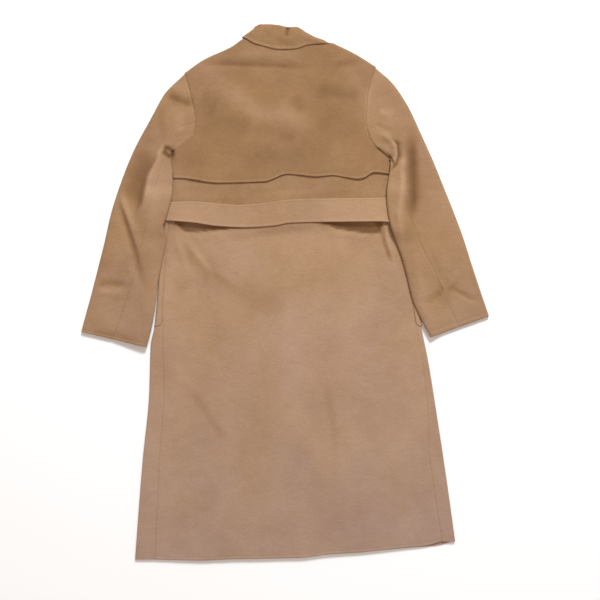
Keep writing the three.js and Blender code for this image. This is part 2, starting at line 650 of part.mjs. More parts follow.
function collarHalf(name, side, sections) {
  const rows = sections.map((section, index) => ({ ...section, index }));
  const lines = {};
  const keys = ['turn', 'neckX', 'neckY', 'foldX', 'foldY', 'freeX', 'freeY'];
  for (const key of keys) lines[key] = curve(rows, 'index', key);

  // A height and a sideways reach on the half circle that joins the back level to the front level
  const round = (turn, high, low) => {
    const middle = (high + low) / 2;
    const radius = (high - low) / 2;
    const angle = (turn * Math.PI) / 2;
    return { z: middle + radius * Math.sin(angle), out: radius * Math.cos(angle) };
  };

  const middleAt = (i, j) => {
    const at = (i / COLLAR_STEPS) * (sections.length - 1);
    const here = Object.fromEntries(keys.map((key) => [key, lines[key](at)]));
    const stand = round(here.turn, BACK_STAND, FRONT_STAND);
    const fall = round(here.turn, BACK_FALL, FRONT_FALL);
    const roll = Math.abs(fall.z - stand.z) / 2 + Math.abs(fall.out - stand.out) / 2;
    const seam = i === 0 ? (side * SEAM) / 2 : 0;
    if (j <= STAND_STEPS) {
      const share = j / STAND_STEPS;
      const x = lerp(here.neckX, here.foldX, share) + side * stand.out + seam;
      const y = lerp(here.neckY, here.foldY - roll, share);
      return new THREE.Vector3(x, y, stand.z);
    }
    if (j >= STAND_STEPS + ROLL_STEPS) {
      const share = (j - STAND_STEPS - ROLL_STEPS) / STAND_STEPS;
      const x = lerp(here.foldX, here.freeX, share) + side * fall.out + seam;
      const y = lerp(here.foldY - roll, here.freeY, share);
      return new THREE.Vector3(x, y, fall.z);
    }
    const angle = (Math.PI * (j - STAND_STEPS)) / ROLL_STEPS;
    const share = (1 - Math.cos(angle)) / 2;
    const x = here.foldX + side * lerp(stand.out, fall.out, share) + seam;
    const y = here.foldY - roll + roll * Math.sin(angle);
    return new THREE.Vector3(x, y, lerp(stand.z, fall.z, share));
  };

  const lastRow = COLLAR_STEPS;
  const lastColumn = 2 * STAND_STEPS + ROLL_STEPS;
  const point = (i, j) => {
    const middle = middleAt(i, j);
    const along = middleAt(Math.min(i + 1, lastRow), j).sub(middleAt(Math.max(i - 1, 0), j));
    const over = middleAt(i, Math.min(j + 1, lastColumn)).sub(middleAt(i, Math.max(j - 1, 0)));
    if (i === 0) along.set(side, 0, 0);
    const normal = along.cross(over).normalize().multiplyScalar(CLOTH / 2);
    return [middle.clone().add(normal).toArray(), middle.clone().sub(normal).toArray()];
  };
  return wall(name, COLOURS.upper, lastRow + 1, lastColumn + 1, point);
}

const group = new THREE.Group();
group.add(
  frontPanel('front_left', -1),
  frontPanel('front_right', 1),
  backPanel('back', COLOURS.body, 0, HEM_ROW),
  backPanel('back_flap', COLOURS.upper, 1, FLAP_ROW),
  belt(),
  beltLoop('belt_loop_left', -1),
  beltLoop('belt_loop_right', 1),
  pocketWelt('pocket_left', -1),
  pocketWelt('pocket_right', 1),
  ...sleeve(-1),
  ...sleeve(1),
  collarHalf('collar_left', -1, LEFT_COLLAR),
  collarHalf('collar_right', 1, RIGHT_COLLAR),
);

export default group;
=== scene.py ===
import math

import bpy
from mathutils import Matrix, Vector
import numpy as np


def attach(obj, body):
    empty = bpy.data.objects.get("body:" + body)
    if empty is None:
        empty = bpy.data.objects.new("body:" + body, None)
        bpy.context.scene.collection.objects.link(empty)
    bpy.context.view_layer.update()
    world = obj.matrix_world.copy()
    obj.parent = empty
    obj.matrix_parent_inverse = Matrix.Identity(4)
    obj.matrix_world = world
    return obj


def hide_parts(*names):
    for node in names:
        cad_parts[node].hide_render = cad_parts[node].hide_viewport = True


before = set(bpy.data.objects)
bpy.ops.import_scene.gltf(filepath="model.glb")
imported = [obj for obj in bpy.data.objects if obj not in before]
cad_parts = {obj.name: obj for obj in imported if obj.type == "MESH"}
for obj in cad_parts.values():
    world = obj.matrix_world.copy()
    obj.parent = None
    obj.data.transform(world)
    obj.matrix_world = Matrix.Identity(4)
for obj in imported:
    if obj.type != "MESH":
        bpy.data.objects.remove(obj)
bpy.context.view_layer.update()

# A long wool coat laid flat with its back up, in the frame's axes: collar towards +Y, the wearer's
# left at -X, the surface at z = 0. Shapes are worked out in millimetres and turned into metres last.
MM = 0.001

# Thickness of the cloth, the step from one layer to the next, and half the gap at a seam
CLOTH = 2.2
LAYER = 2.5
HAIRLINE = 0.05

# Spacing of the points where the cloth shows and where it is hidden
GRID = 4.6
COARSE = 12.0

# Height of the back's face at the folded sides, at its lowest and along the middle, and how far above
# and below the belt the belt's run underneath still lifts it
SIDE_TOP = 6.0
LOWEST_TOP = 4.4
CENTRE_TOP = 8.6
BELT_RAMP = 24

# How far from a free edge and from a seam the closest points lie
EDGE_STEPS = (0.0, 0.5, 1.1, 2.0, 3.2, 4.6, 5.8, 6.6, 7.6, 9.4)
SEAM_STEPS = (0.0, 0.7, 1.5, 2.5, 4.0, 6.0)


def blend(start, end, value):
    """0 before start, 1 past end, and a smooth step between them."""
    share = np.clip((value - start) / (end - start), 0.0, 1.0)
    return share * share * (3 - 2 * share)


def mix(a, b, share):
    """A share of the way from a to b."""
    return a + (b - a) * share


def curve(*points):
    """A smooth curve through (where, value) points that never overshoots them."""
    at, to = (np.array(column, float) for column in zip(*sorted(points)))
    steps = np.diff(to) / np.diff(at)
    before = np.concatenate([steps[:1], steps])
    after = np.concatenate([steps, steps[-1:]])
    same_way = before * after > 0
    total = np.where(same_way, before + after, 1.0)
    slopes = np.where(same_way, 2 * before * after / total, 0.0)

    def value(where):
        point = np.clip(where, at[0], at[-1])
        i = np.clip(np.searchsorted(at, point) - 1, 0, len(steps) - 1)
        width = at[i + 1] - at[i]
        t = (point - at[i]) / width
        rest = 1 - t
        ends = to[i] * (1 + 2 * t) * rest**2 + to[i + 1] * t**2 * (3 - 2 * t)
        return ends + width * (slopes[i] * t * rest**2 - slopes[i + 1] * t**2 * rest)

    return value


# The body's edges as (y, x): the armhole seam down to the underarm, then the folded side to the hem
LEFT_EDGE = curve(
    (491, -226), (448, -213), (405, -204), (385, -201), (353, -207), (331, -230), (315, -257),
    (304, -267), (292, -268), (278, -262), (260, -261), (241, -263), (151, -271), (38, -279),
    (-18, -283), (-69, -288),
    (-121, -299), (-225, -302), (-380, -317), (-600, -334),
)
RIGHT_EDGE = curve(
    (505, 204), (464, 190), (432, 184), (384, 182), (352, 188), (331, 199), (315, 215), (293, 238),
    (270, 238), (241, 249), (207, 253), (151, 258), (117, 262), (72, 271), (27, 282), (-18, 293),
    (-79, 303), (-153, 318), (-277, 338), (-416, 359), (-559, 379),
)
EDGES = {-1: LEFT_EDGE, 1: RIGHT_EDGE}

# How far each side seam lies in from the folded side, by y
LEFT_INSET = curve((300, 12), (52, 8), (-24, 8), (-69, 13), (-121, 24), (-328, 33), (-592, 41))
RIGHT_INSET = curve((300, 12), (0, 9), (-214, 13), (-277, 17), (-380, 29), (-565, 27))
INSETS = {-1: LEFT_INSET, 1: RIGHT_INSET}
UNDERARM_Y = {-1: 315, 1: 293}

# Lines across the body as (share of the way from left to right, y)
BACK_TOP = curve(
    (0, 491), (0.1, 521), (0.25, 551), (0.3, 566), (0.33, 572), (0.37, 568), (0.54, 552), (0.72, 559),
    (0.76, 559), (0.81, 551), (0.9, 532), (1, 505),
)
FRONT_TOP = curve(
    (0, 491), (0.1, 521), (0.25, 551), (0.29, 560), (0.4, 506), (0.53, 476), (0.66, 500),
    (0.79, 553), (0.81, 551), (0.9, 532), (1, 505),
)
FLAP_EDGE = curve(
    (0, 255), (0.03, 255), (0.09, 252), (0.16, 246), (0.21, 244), (0.42, 247), (0.46, 253), (0.5, 261),
    (0.53, 264), (0.58, 262), (0.66, 258), (0.74, 261), (0.79, 257), (0.85, 253), (0.88, 256),
    (0.93, 268), (1, 264),
)
BELT_TOP = curve(
    (0, 201), (0.11, 203), (0.19, 200), (0.31, 195), (0.43, 199), (0.49, 204), (0.58, 208),
    (0.78, 210), (1, 212),
)
BELT_BOTTOM = curve(
    (0, 160), (0.12, 155), (0.23, 147), (0.34, 144), (0.47, 148), (0.53, 154), (0.65, 156),
    (0.92, 157), (1, 152),
)
HEM = curve(
    (0, -600), (0.15, -602), (0.27, -599), (0.5, -596), (0.61, -588), (0.71, -584),
    (0.87, -574), (0.94, -570), (1, -560),
)


def drift(x, y, size, seed):
    """Smooth seeded unevenness from -1 to 1, with hills about size apart."""
    cells = 64
    grid = np.random.default_rng(seed).uniform(-1, 1, (cells, cells))
    u = x / size + 1000.0
    v = y / size + 1000.0
    i = np.floor(u).astype(int)
    j = np.floor(v).astype(int)
    s = blend(0, 1, u - i)
    t = blend(0, 1, v - j)
    near = mix(grid[i % cells, j % cells], grid[(i + 1) % cells, j % cells], s)
    far = mix(grid[i % cells, (j + 1) % cells], grid[(i + 1) % cells, (j + 1) % cells], s)
    return mix(near, far, t)


def fold_height(x, y, folds):
    """How far the folds raise the cloth. A fold is (points, width, rise, lean): a ridge, or a trough
    where rise is negative, along the points. Lean makes its left side softer and its right steeper."""
    height = np.zeros_like(x)
    for points, width, rise, lean in folds:
        best = np.full(x.shape, 1e9)
        along = np.zeros_like(x)
        side = np.zeros_like(x)
        lengths = [math.dist(a, b) for a, b in zip(points, points[1:])]
        done = 0.0
        for (x1, y1), (x2, y2), length in zip(points, points[1:], lengths):
            dx, dy = (x2 - x1) / length, (y2 - y1) / length
            t = np.clip((x - x1) * dx + (y - y1) * dy, 0, length)
            away = np.hypot(x - x1 - t * dx, y - y1 - t * dy)
            closer = away < best
            best = np.where(closer, away, best)
            along = np.where(closer, (done + t) / sum(lengths), along)
            side = np.where(closer, np.sign((y - y1) * dx - (x - x1) * dy), side)
            done += length
        reach = width * (1 + lean * side)
        ends = blend(0.0, 0.25, along) * blend(1.0, 0.75, along)
        height += rise * np.exp(-((best / reach) ** 2)) * (0.12 + 0.88 * ends)
    return height


# Folds and creases of the back: (points, width, rise, lean)
BACK_FOLDS = [
    ([(-182, 512), (-80, 509), (35, 503)], 7, -1.8, 0.3),
    ([(-62, 521), (-10, 517), (40, 503)], 6, -0.9, 0.2),
    ([(108, 497), (150, 505), (180, 518)], 8, -0.9, 0.3),
    ([(-225, 455), (-196, 432), (-150, 420)], 16, -1.6, 0.2),
    ([(-190, 462), (-60, 425), (20, 392)], 26, 1.5, 0.3),
    ([(20, 455), (95, 462), (128, 420)], 24, -1.2, 0.2),
    ([(170, 480), (158, 420), (160, 360)], 14, 1.4, 0.2),
    ([(-120, 372), (-70, 350), (10, 352)], 18, -1.0, 0.0),
    ([(-190, 330), (-60, 318), (120, 322)], 26, 1.2, 0.2),
    ([(-95, 232), (-60, 236), (-20, 226)], 9, 0.9, 0.0),
    ([(-244, 152), (-222, 143), (-190, 140), (-120, 143)], 9, -3.6, 0.0),
    ([(-226, 132), (-200, 100), (-176, 66), (-150, 20)], 9, -2.4, 0.4),
    ([(-252, 140), (-240, 110), (-226, 60)], 9, 2.2, 0.0),
    ([(-190, 122), (-120, 126), (-60, 130)], 10, 1.6, 0.0),
    ([(96, 152), (150, 146), (206, 140)], 10, -4.4, 0.0),
    ([(104, 132), (150, 126), (200, 122)], 9, 1.6, 0.0),
    ([(224, 156), (228, 120), (240, 74)], 5.5, 4.6, 0.0),
    ([(213, 148), (217, 120), (230, 78), (238, 60)], 4.5, -3.4, 0.0),
    ([(110, 120), (160, 60), (190, -40)], 26, 1.4, 0.2),
    ([(-245, -120), (-200, -230), (-140, -330)], 26, -1.3, 0.3),
    ([(-200, -60), (-140, -90), (-90, -60)], 22, 1.0, 0.0),
    ([(92, -225), (104, -310), (118, -392)], 14, -1.0, 0.3),
    ([(20, -120), (10, -300), (-30, -470)], 40, 1.1, 0.2),
    ([(162, -201), (205, -207)], 3, -0.7, 0.0),
    ([(-46, -70), (-30, -98), (-20, -72)], 3.5, -0.5, 0.0),
    ([(-4, -158), (30, -166)], 4, -0.5, 0.0),
    ([(-245, -60), (-200, -66)], 6, -0.6, 0.0),
    ([(180, -90), (240, -110), (300, -100)], 14, 0.8, 0.0),
    ([(250, -250), (290, -330), (300, -420)], 22, -0.9, 0.2),
]


# Painted shadow in the recesses under the belt's lower edge, and faint painted shade just above its upper
# edge, on the back alone: (points, width, strength, lean)
PAINTED_BELT_SHADOW = [
    ([(-247, 196), (-247, 156), (-225, 138), (-192, 137), (-128, 143), (-60, 149)], 10, -1.25, 0.80),
    (
        [(40, 156), (94, 152), (116, 143), (162, 136), (196, 132), (213, 136), (217, 156), (217, 200)],
        11, -1.30, 0.82,
    ),
    ([(-262, 213), (-120, 206), (0, 214), (120, 222), (250, 224)], 8, -0.16, 0.0),
]

# Where the colour lies lighter (above 0) or darker: broad patches of the nap, painted shade in the
# troughs, creases and hollows of the folds, and painted highlights on their ridges: (points, width,
# strength, lean)
NAP_AND_PAINTED_LIGHT = [
    ([(-196, 434), (-150, 408)], 18, -0.36, 0.0),
    ([(-200, 372), (-130, 380), (-70, 352)], 34, -0.30, 0.0),
    ([(-160, 330), (-90, 330)], 26, -0.14, 0.0),
    ([(62, 452), (105, 450), (150, 440), (160, 420)], 17, -0.42, 0.0),
    ([(16, 442), (40, 400)], 15, -0.28, 0.0),
    ([(80, 410), (120, 380), (150, 330)], 34, -0.20, 0.0),
    ([(-150, 478), (-100, 428), (-50, 398), (10, 398), (46, 362)], 20, 0.40, 0.0),
    ([(-20, 350), (28, 348)], 13, -0.28, 0.0),
    # Painted shade in the creases across the upper back
    ([(-190, 512), (-120, 510), (-50, 507), (10, 505), (55, 501)], 6, -0.54, 0.3),
    ([(-62, 521), (-20, 519)], 4, -0.24, 0.0),
    ([(106, 507), (165, 520)], 7, -0.30, 0.0),
    ([(-120, 530), (-60, 536), (60, 530)], 12, 0.16, 0.0),
    ([(-266, 442), (-232, 428), (-204, 418)], 9, -0.80, 0.3),
    ([(-246, 402), (-230, 352)], 13, 0.22, 0.0),
    ([(-290, 425), (-312, 372), (-330, 320)], 24, -0.22, 0.0),
    ([(-276, 425), (-274, 330)], 9, -0.20, 0.0),
    ([(188, 470), (182, 410), (184, 350)], 4, 0.22, 0.0),
    ([(206, 406), (246, 392)], 12, 0.20, 0.0),
    ([(210, 300), (234, 330), (246, 318)], 9, 0.22, 0.0),
    # Painted shade and painted highlights along folds of the skirt, among patches of its nap
    ([(-238, 122), (-205, 78), (-172, 46), (-100, 2)], 15, -0.40, -0.5),
    ([(-130, 40), (-60, -10), (0, -50)], 30, -0.14, 0.0),
    ([(-250, 130), (-228, 84), (-205, 30)], 9, 0.22, 0.0),
    ([(-110, 20), (-40, -20), (10, -40)], 34, -0.12, 0.0),
    ([(-255, 25), (-215, 10)], 16, -0.18, 0.0),
    ([(-225, -205), (-170, -280), (-128, -345)], 10, -0.24, 0.2),
    ([(92, -190), (108, -300), (118, -420)], 10, -0.18, 0.0),
    ([(-60, -80), (0, -150), (20, -260)], 60, 0.12, 0.0),
    ([(20, -480), (120, -540)], 40, -0.12, 0.0),
    ([(150, 60), (220, 20), (230, -60)], 30, -0.08, 0.0),
    # Painted shade in the trough and a painted highlight on the ridge of the fold at the skirt's right,
    # below the belt
    ([(214, 146), (222, 110), (240, 66)], 5, -0.40, 0.0),
    ([(224, 150), (234, 100), (250, 40)], 6, 0.20, 0.0),
    # Painted shade in the left sleeve's valleys and creases and painted highlights on its ridges, among
    # patches of its nap
    ([(-279, 316), (-312, 256), (-321, 200), (-336, 172)], 20, -0.74, -0.75),
    ([(-440, -20), (-380, -50), (-320, -60)], 34, 0.12, 0.0),
    ([(-312, 330), (-338, 262), (-348, 200)], 20, -0.22, 0.0),
    ([(-272, 322), (-300, 262), (-310, 205)], 5, 0.26, 0.0),
    ([(-272, 300), (-290, 240), (-292, 160), (-300, 60)], 20, 0.22, 0.0),
    ([(-368, 200), (-354, 150), (-340, 95), (-322, 30), (-312, 0)], 6, -0.30, 0.0),
    ([(-366, 224), (-350, 176), (-334, 128)], 6, 0.26, 0.0),
    ([(-400, 170), (-410, 90), (-420, 30)], 22, -0.18, 0.0),
    ([(-428, 13), (-392, 17), (-352, 12)], 5, -0.42, 0.0),
    ([(-424, 2), (-356, 3)], 6, 0.16, 0.0),
    ([(-440, -88), (-380, -96), (-330, -112)], 9, -0.30, 0.0),
    # Painted shade in the right sleeve's trough and creases and painted highlights on its ridges, among
    # patches of its nap
    ([(283, 360), (287, 290), (289, 210), (282, 150)], 13, -0.98, -0.20),
    ([(264, 330), (261, 240), (252, 165), (268, 90)], 8, 0.40, 0.0),
    ([(330, 240), (345, 150)], 26, 0.06, 0.0),
    ([(312, -30), (336, -14), (356, 4)], 4, -0.30, 0.2),
    ([(360, 8), (384, 2), (412, -14), (432, -22)], 4, -0.34, 0.2),
    ([(346, 30), (358, 8), (356, -20)], 5, 0.20, 0.0),
    ([(348, 40), (362, 0), (330, -20)], 14, -0.20, 0.0),
    ([(300, 40), (310, -30)], 16, 0.16, 0.0),
    # Painted shade in the hollow and creases at each underarm, with painted highlights on the folds beside
    # them
    ([(-276, 325), (-264, 323), (-254, 319), (-251, 310), (-251, 300)], 4.5, -1.5, 0.0),
    ([(-274, 318), (-266, 310), (-258, 303), (-253, 298)], 5.5, -1.6, 0.0),
    ([(-270, 334), (-279, 318), (-286, 300)], 3.5, 0.45, 0.0),
    ([(200, 326), (212, 320), (233, 303), (241, 292), (241, 280)], 2.6, -2.2, 0.0),
    ([(236, 350), (253, 332), (256, 304), (249, 286), (236, 268)], 3.2, -1.1, -0.3),
    ([(232, 344), (246, 328), (248, 306), (240, 290)], 4, 0.40, 0.0),
    ([(236, 287), (243, 283)], 4, 0.40, 0.0),
    # Painted shade along the collar's low middle crease and in its dimple at the centre back
    ([(-20, 556), (30, 552)], 9, -0.22, 0.0),
    ([(7, 600), (5, 586), (2, 566)], 4.5, -0.55, 0.0),
]


# Where each side lies on the way across the body, which runs from 0 to 1
ACROSS = {-1: 0.0, 1: 1.0}


def body_across(x, y):
    """How far across the body a point lies."""
    left = LEFT_EDGE(y)
    return np.clip((x - left) / (RIGHT_EDGE(y) - left), 0.0, 1.0)


def belt_lift(across, y):
    """How far the belt's run underneath lifts the coat, twice where its two ends overlap."""
    under = blend(BELT_TOP(across) + BELT_RAMP, BELT_TOP(across), y)
    under = under * blend(BELT_BOTTOM(across) - BELT_RAMP, BELT_BOTTOM(across), y)
    doubled = blend(0.34, 0.44, across) * blend(0.66, 0.56, across)
    return under * LAYER * (1 + doubled)


def back_top(x, y):
    """Height of the back's upper face."""
    across = body_across(x, y)
    inward = np.minimum(across, 1 - across)
    calm = blend(0.0, 0.07, inward)
    swell = 0.9 * drift(x, y, 120, 3) + 0.35 * drift(x, y, 46, 4) + 0.12 * drift(x, y, 17, 5)
    folds = fold_height(x, y, BACK_FOLDS)
    lift = belt_lift(across, y)
    height = mix(SIDE_TOP, CENTRE_TOP, blend(0, 0.36, inward)) + lift + calm * (swell + folds)
    return np.maximum(height, lift + LOWEST_TOP)


# How plainly each armhole seam shows, by y
ARMHOLE_SHOWS = {
    -1: curve((315, 0.5), (335, 0.25), (385, 0.1), (402, 0.4), (425, 1.0), (491, 0.7)),
    1: curve((293, 1.4), (340, 1.4), (380, 1.0), (440, 0.9), (505, 0.7)),
}


def seam_dip(distance, depth=1.0, width=2.2):
    """The cloth sinks into a seam."""
    return -depth * np.exp(-((distance / width) ** 2))


def felled_edge(distance, depth=0.45):
    """A free edge of double cloth: rounded over, then a faint line where its two faces are sewn."""
    rounding = np.clip(1 - distance / 1.2, 0, 1)
    line = np.exp(-(((distance - 6.4) / 1.0) ** 2))
    swell = np.exp(-(((distance - 3.0) / 2.2) ** 2))
    return -1.0 * rounding**2 - depth * line + 0.35 * swell


def painted_edge_highlight(distance):
    """A painted highlight: how much lighter the colour is made where the cloth rolls over at a free edge.
    """
    return 0.34 * np.exp(-(((distance - 1.6) / 2.4) ** 2))


def lines(length, spacing, start=(), end=()):
    """Shares of a length, evenly spaced but closer at its ends, as start and end say in millimetres."""
    middle = max(int(round((length - sum(map(max, filter(None, (start, end))))) / spacing)), 2)
    low = max(start) if start else 0.0
    high = length - (max(end) if end else 0.0)
    inner = np.linspace(low, high, middle + 1)
    stops = [*start[:-1], *inner, *(length - step for step in reversed(end[:-1]))]
    return np.array(stops) / length


def shell(name, x, y, z, nap_tone_and_painted_light, thickness=CLOTH, offset=-1.0, flip=False):
    """A piece of cloth: a smooth sheet through the points, given a real thickness. Its nap tone says how
    light its nap lies on the whole, from 0 to 1, with any painted highlight or shadow a piece adds;
    the table of nap patches and painted shading is added to it."""
    rows, columns = x.shape
    points = np.stack([x, y, z], axis=-1).reshape(-1, 3) * MM
    i, j = np.meshgrid(np.arange(rows - 1), np.arange(columns - 1), indexing="ij")
    a = (i * columns + j).ravel()
    faces = np.stack([a, a + columns, a + columns + 1, a + 1], axis=-1)
    if flip:
        faces = faces[:, ::-1]
    mesh = bpy.data.meshes.new(name)
    mesh.from_pydata(points.tolist(), [], faces.tolist())
    mesh.shade_smooth()
    # The attribute holds the nap's tone together with painted shade and painted highlights along folds,
    # hollows, the belt and rolled edges
    nap_and_painted_light = mesh.attributes.new("nap_and_painted_light", "FLOAT", "POINT")
    nap_and_painted_light.data.foreach_set("value", (nap_tone_and_painted_light + fold_height(x, y, NAP_AND_PAINTED_LIGHT)).ravel())
    piece = bpy.data.objects.new(name, mesh)
    bpy.context.scene.collection.objects.link(piece)
    solid = piece.modifiers.new("thickness", "SOLIDIFY")
    solid.thickness = thickness * MM
    solid.offset = offset
    solid.use_even_offset = False
    return piece


# Materials

# Colours of the nap's ramp; its dark end is also the painted shade colour of creases, hollows and the
# belt's shadow
NAP_LIGHT = (0.456, 0.284, 0.169)
NAP_MIDDLE = (0.290, 0.161, 0.076)
DARK_NAP_AND_SHADE = (0.150, 0.071, 0.029)
NAP_LIGHT_AT, NAP_MIDDLE_AT, DARK_NAP_AND_SHADE_AT = 1.3, 0.32, -0.6
HEM_TINT = (0.925, 1.0, 1.27)
WARM, COOL = (1.015, 1.0, 0.955), (0.99, 0.985, 1.045)


def wool(name, mottling, grain, sheen):
    """Brushed double-faced wool. Its nap is pale where it lies with the light and dark and richer where
    it lies against it, in broad patches, a fine mottle and single fibres. Its nap attribute also carries
    painted shade in creases, troughs and hollows and under the belt, and painted highlights on ridges and
    rolled edges; the dark end of its ramp is the painted shade colour."""
    material = bpy.data.materials.new(name)
    material.use_nodes = True
    nodes, links = material.node_tree.nodes, material.node_tree.links
    shader = nodes["Principled BSDF"]
    place = nodes.new("ShaderNodeTexCoord").outputs["Object"]

    def noise(scale, detail, stretch):
        mapping = nodes.new("ShaderNodeMapping")
        mapping.inputs["Scale"].default_value = stretch
        links.new(place, mapping.inputs["Vector"])
        node = nodes.new("ShaderNodeTexNoise")
        node.inputs["Scale"].default_value = scale
        node.inputs["Detail"].default_value = detail
        links.new(mapping.outputs["Vector"], node.inputs["Vector"])
        return node.outputs["Fac"]

    def spread(value, low, high, to_low, to_high, clamp=True):
        node = nodes.new("ShaderNodeMapRange")
        node.clamp = clamp
        for key, number in zip(("From Min", "From Max", "To Min", "To Max"), (low, high, to_low, to_high)):
            node.inputs[key].default_value = number
        links.new(value, node.inputs["Value"])
        return node.outputs["Result"]

    def total(first, *others):
        for other in others:
            node = nodes.new("ShaderNodeMath")
            node.operation = "ADD"
            links.new(first, node.inputs[0])
            links.new(other, node.inputs[1])
            first = node.outputs[0]
        return first

    def mixed(share, a, b):
        node = nodes.new("ShaderNodeMix")
        node.data_type = "RGBA"
        node.clamp_factor = False
        links.new(share, node.inputs["Factor"])
        node.inputs["A"].default_value = (*a, 1)
        node.inputs["B"].default_value = (*b, 1)
        return node.outputs["Result"]

    def product(a, b):
        node = nodes.new("ShaderNodeMix")
        node.data_type = "RGBA"
        node.blend_type = "MULTIPLY"
        node.inputs["Factor"].default_value = 1.0
        links.new(a, node.inputs["A"])
        links.new(b, node.inputs["B"])
        return node.outputs["Result"]

    nap_and_painted_light = nodes.new("ShaderNodeAttribute")
    nap_and_painted_light.attribute_name = "nap_and_painted_light"
    patches = spread(noise(9, 2.5, (1, 0.8, 1)), 0.3, 0.7, -mottling, mottling)
    mottle = spread(noise(55, 3, (0.8, 1, 1)), 0.3, 0.7, -0.07, 0.07)
    fibres = spread(noise(380, 3, (0.55, 1, 1)), 0.25, 0.75, -grain, grain)
    value = total(nap_and_painted_light.outputs["Fac"], patches, mottle, fibres)
    # The ramp gives the colour from the attribute's value; its dark end is the painted shade colour
    tones = nodes.new("ShaderNodeValToRGB")
    stops = tones.color_ramp.elements
    stops.new((NAP_MIDDLE_AT - DARK_NAP_AND_SHADE_AT) / (NAP_LIGHT_AT - DARK_NAP_AND_SHADE_AT))
    for stop, tone in zip(stops, (DARK_NAP_AND_SHADE, NAP_MIDDLE, NAP_LIGHT)):
        stop.color = (*tone, 1)
    links.new(spread(value, DARK_NAP_AND_SHADE_AT, NAP_LIGHT_AT, 0.0, 1.0), tones.inputs["Fac"])
    colour = tones.outputs["Color"]

    # The cloth turns greyer and pinker towards the hem
    height = nodes.new("ShaderNodeSeparateXYZ")
    links.new(place, height.inputs[0])
    hem_tint = mixed(spread(height.outputs["Y"], 0.1, -0.6, 0.0, 1.0), (1, 1, 1), HEM_TINT)
    warmth = mixed(spread(noise(7, 2, (1, 0.7, 1)), 0.35, 0.65, 0.0, 1.0), WARM, COOL)
    links.new(product(product(colour, hem_tint), warmth), shader.inputs["Base Color"])

    bump = nodes.new("ShaderNodeBump")
    bump.inputs["Strength"].default_value = 0.6
    bump.inputs["Distance"].default_value = 0.0009
    links.new(noise(520, 4, (0.45, 1, 1)), bump.inputs["Height"])
    soft = nodes.new("ShaderNodeBump")
    soft.inputs["Strength"].default_value = 0.4
    soft.inputs["Distance"].default_value = 0.0020
    links.new(noise(120, 3, (1, 1, 1)), soft.inputs["Height"])
    links.new(soft.outputs["Normal"], bump.inputs["Normal"])
    links.new(bump.outputs["Normal"], shader.inputs["Normal"])
    shader.inputs["Roughness"].default_value = 0.92
    shader.inputs["Specular IOR Level"].default_value = 0.15
    shader.inputs["Sheen Weight"].default_value = sheen
    shader.inputs["Sheen Roughness"].default_value = 0.5
    shader.inputs["Sheen Tint"].default_value = (1.0, 0.86, 0.72, 1)
    return material


WOOL = {
    "wool_body": wool("wool_body", 0.15, 0.10, 0.08),
    "wool_flap": wool("wool_flap", 0.20, 0.08, 0.08),
    "wool_sleeve": wool("wool_sleeve", 0.14, 0.09, 0.08),
    "wool_collar": wool("wool_collar", 0.12, 0.09, 0.08),
    "wool_belt": wool("wool_belt", 0.06, 0.08, 0.08),
}

# How light the nap of each piece lies
LEVEL = {"body": 0.95, "flap": 0.32, "sleeve": 0.64, "collar": 0.37, "belt": 0.78, "loop": 0.6}


def finish(piece, slot, flat, area, rests_on, *nodes):
    """Gives a piece its wool, hangs it on the root body and hides the model's parts that it stands for.
    Its flat size, area and what it lies on are not used.
    """
    piece.data.materials.append(WOOL[slot])
    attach(piece, "root")
    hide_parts(*nodes)


# The body

def seam_x(side, y):
    """The side seam: at the underarm it starts on the edge and then runs onto the back."""
    start = blend(UNDERARM_Y[side] + 2, UNDERARM_Y[side] - 70, y)
    return EDGES[side](y) - side * INSETS[side](y) * start


def banded_rows(bounds, spacing, start=(), end=()):
    """Rows down the body as functions of across, evenly spaced between each two lines."""
    rows = []
    for number, (upper, lower) in enumerate(zip(bounds, bounds[1:])):
        length = float(upper(0.5) - lower(0.5))
        first = start if number == 0 else ()
        last = end if number == len(bounds) - 2 else ()
        shares = lines(length, spacing, first, last)
        rows += [(upper, lower, share) for share in (shares if number == 0 else shares[1:])]
    return rows


def rows_to_y(rows, across):
    """Where each row lies along the coat, at each place across it."""
    return np.stack([mix(upper(across), lower(across), share) for upper, lower, share in rows])


def lowered(line, distance):
    """A line that runs a distance below another."""
    return lambda across: line(across) - distance


def make_back():
    """The back panel. Its top edge stops just short of the outline, under the flap."""
    bounds = [lowered(BACK_TOP, 6), FLAP_EDGE, BELT_TOP, BELT_BOTTOM, HEM]
    rows = banded_rows(bounds, GRID, end=EDGE_STEPS)
    across = lines(620, GRID, SEAM_STEPS, SEAM_STEPS)
    y = rows_to_y(rows, across)
    left = seam_x(-1, y) + HAIRLINE
    right = seam_x(1, y) - HAIRLINE
    x = mix(left, right, across)
    z = back_top(x, y)
    z += seam_dip(x - left, 0.55) + seam_dip(right - x, 0.55) + felled_edge(y - HEM(across), 0.3)
    # The back's colour is darker above the belt; the painted shadow under the belt and the faint painted
    # shade along its upper edge are added to it
    nap_tone_and_painted_light = mix(0.50, LEVEL["body"], blend(200, 110, y)) + fold_height(x, y, PAINTED_BELT_SHADOW)
    piece = shell("coat_back", x, y, z, nap_tone_and_painted_light)
    finish(piece, "wool_body", (0.74, 1.19), 0.61, ["coat_front_left", "coat_front_right"], "back")


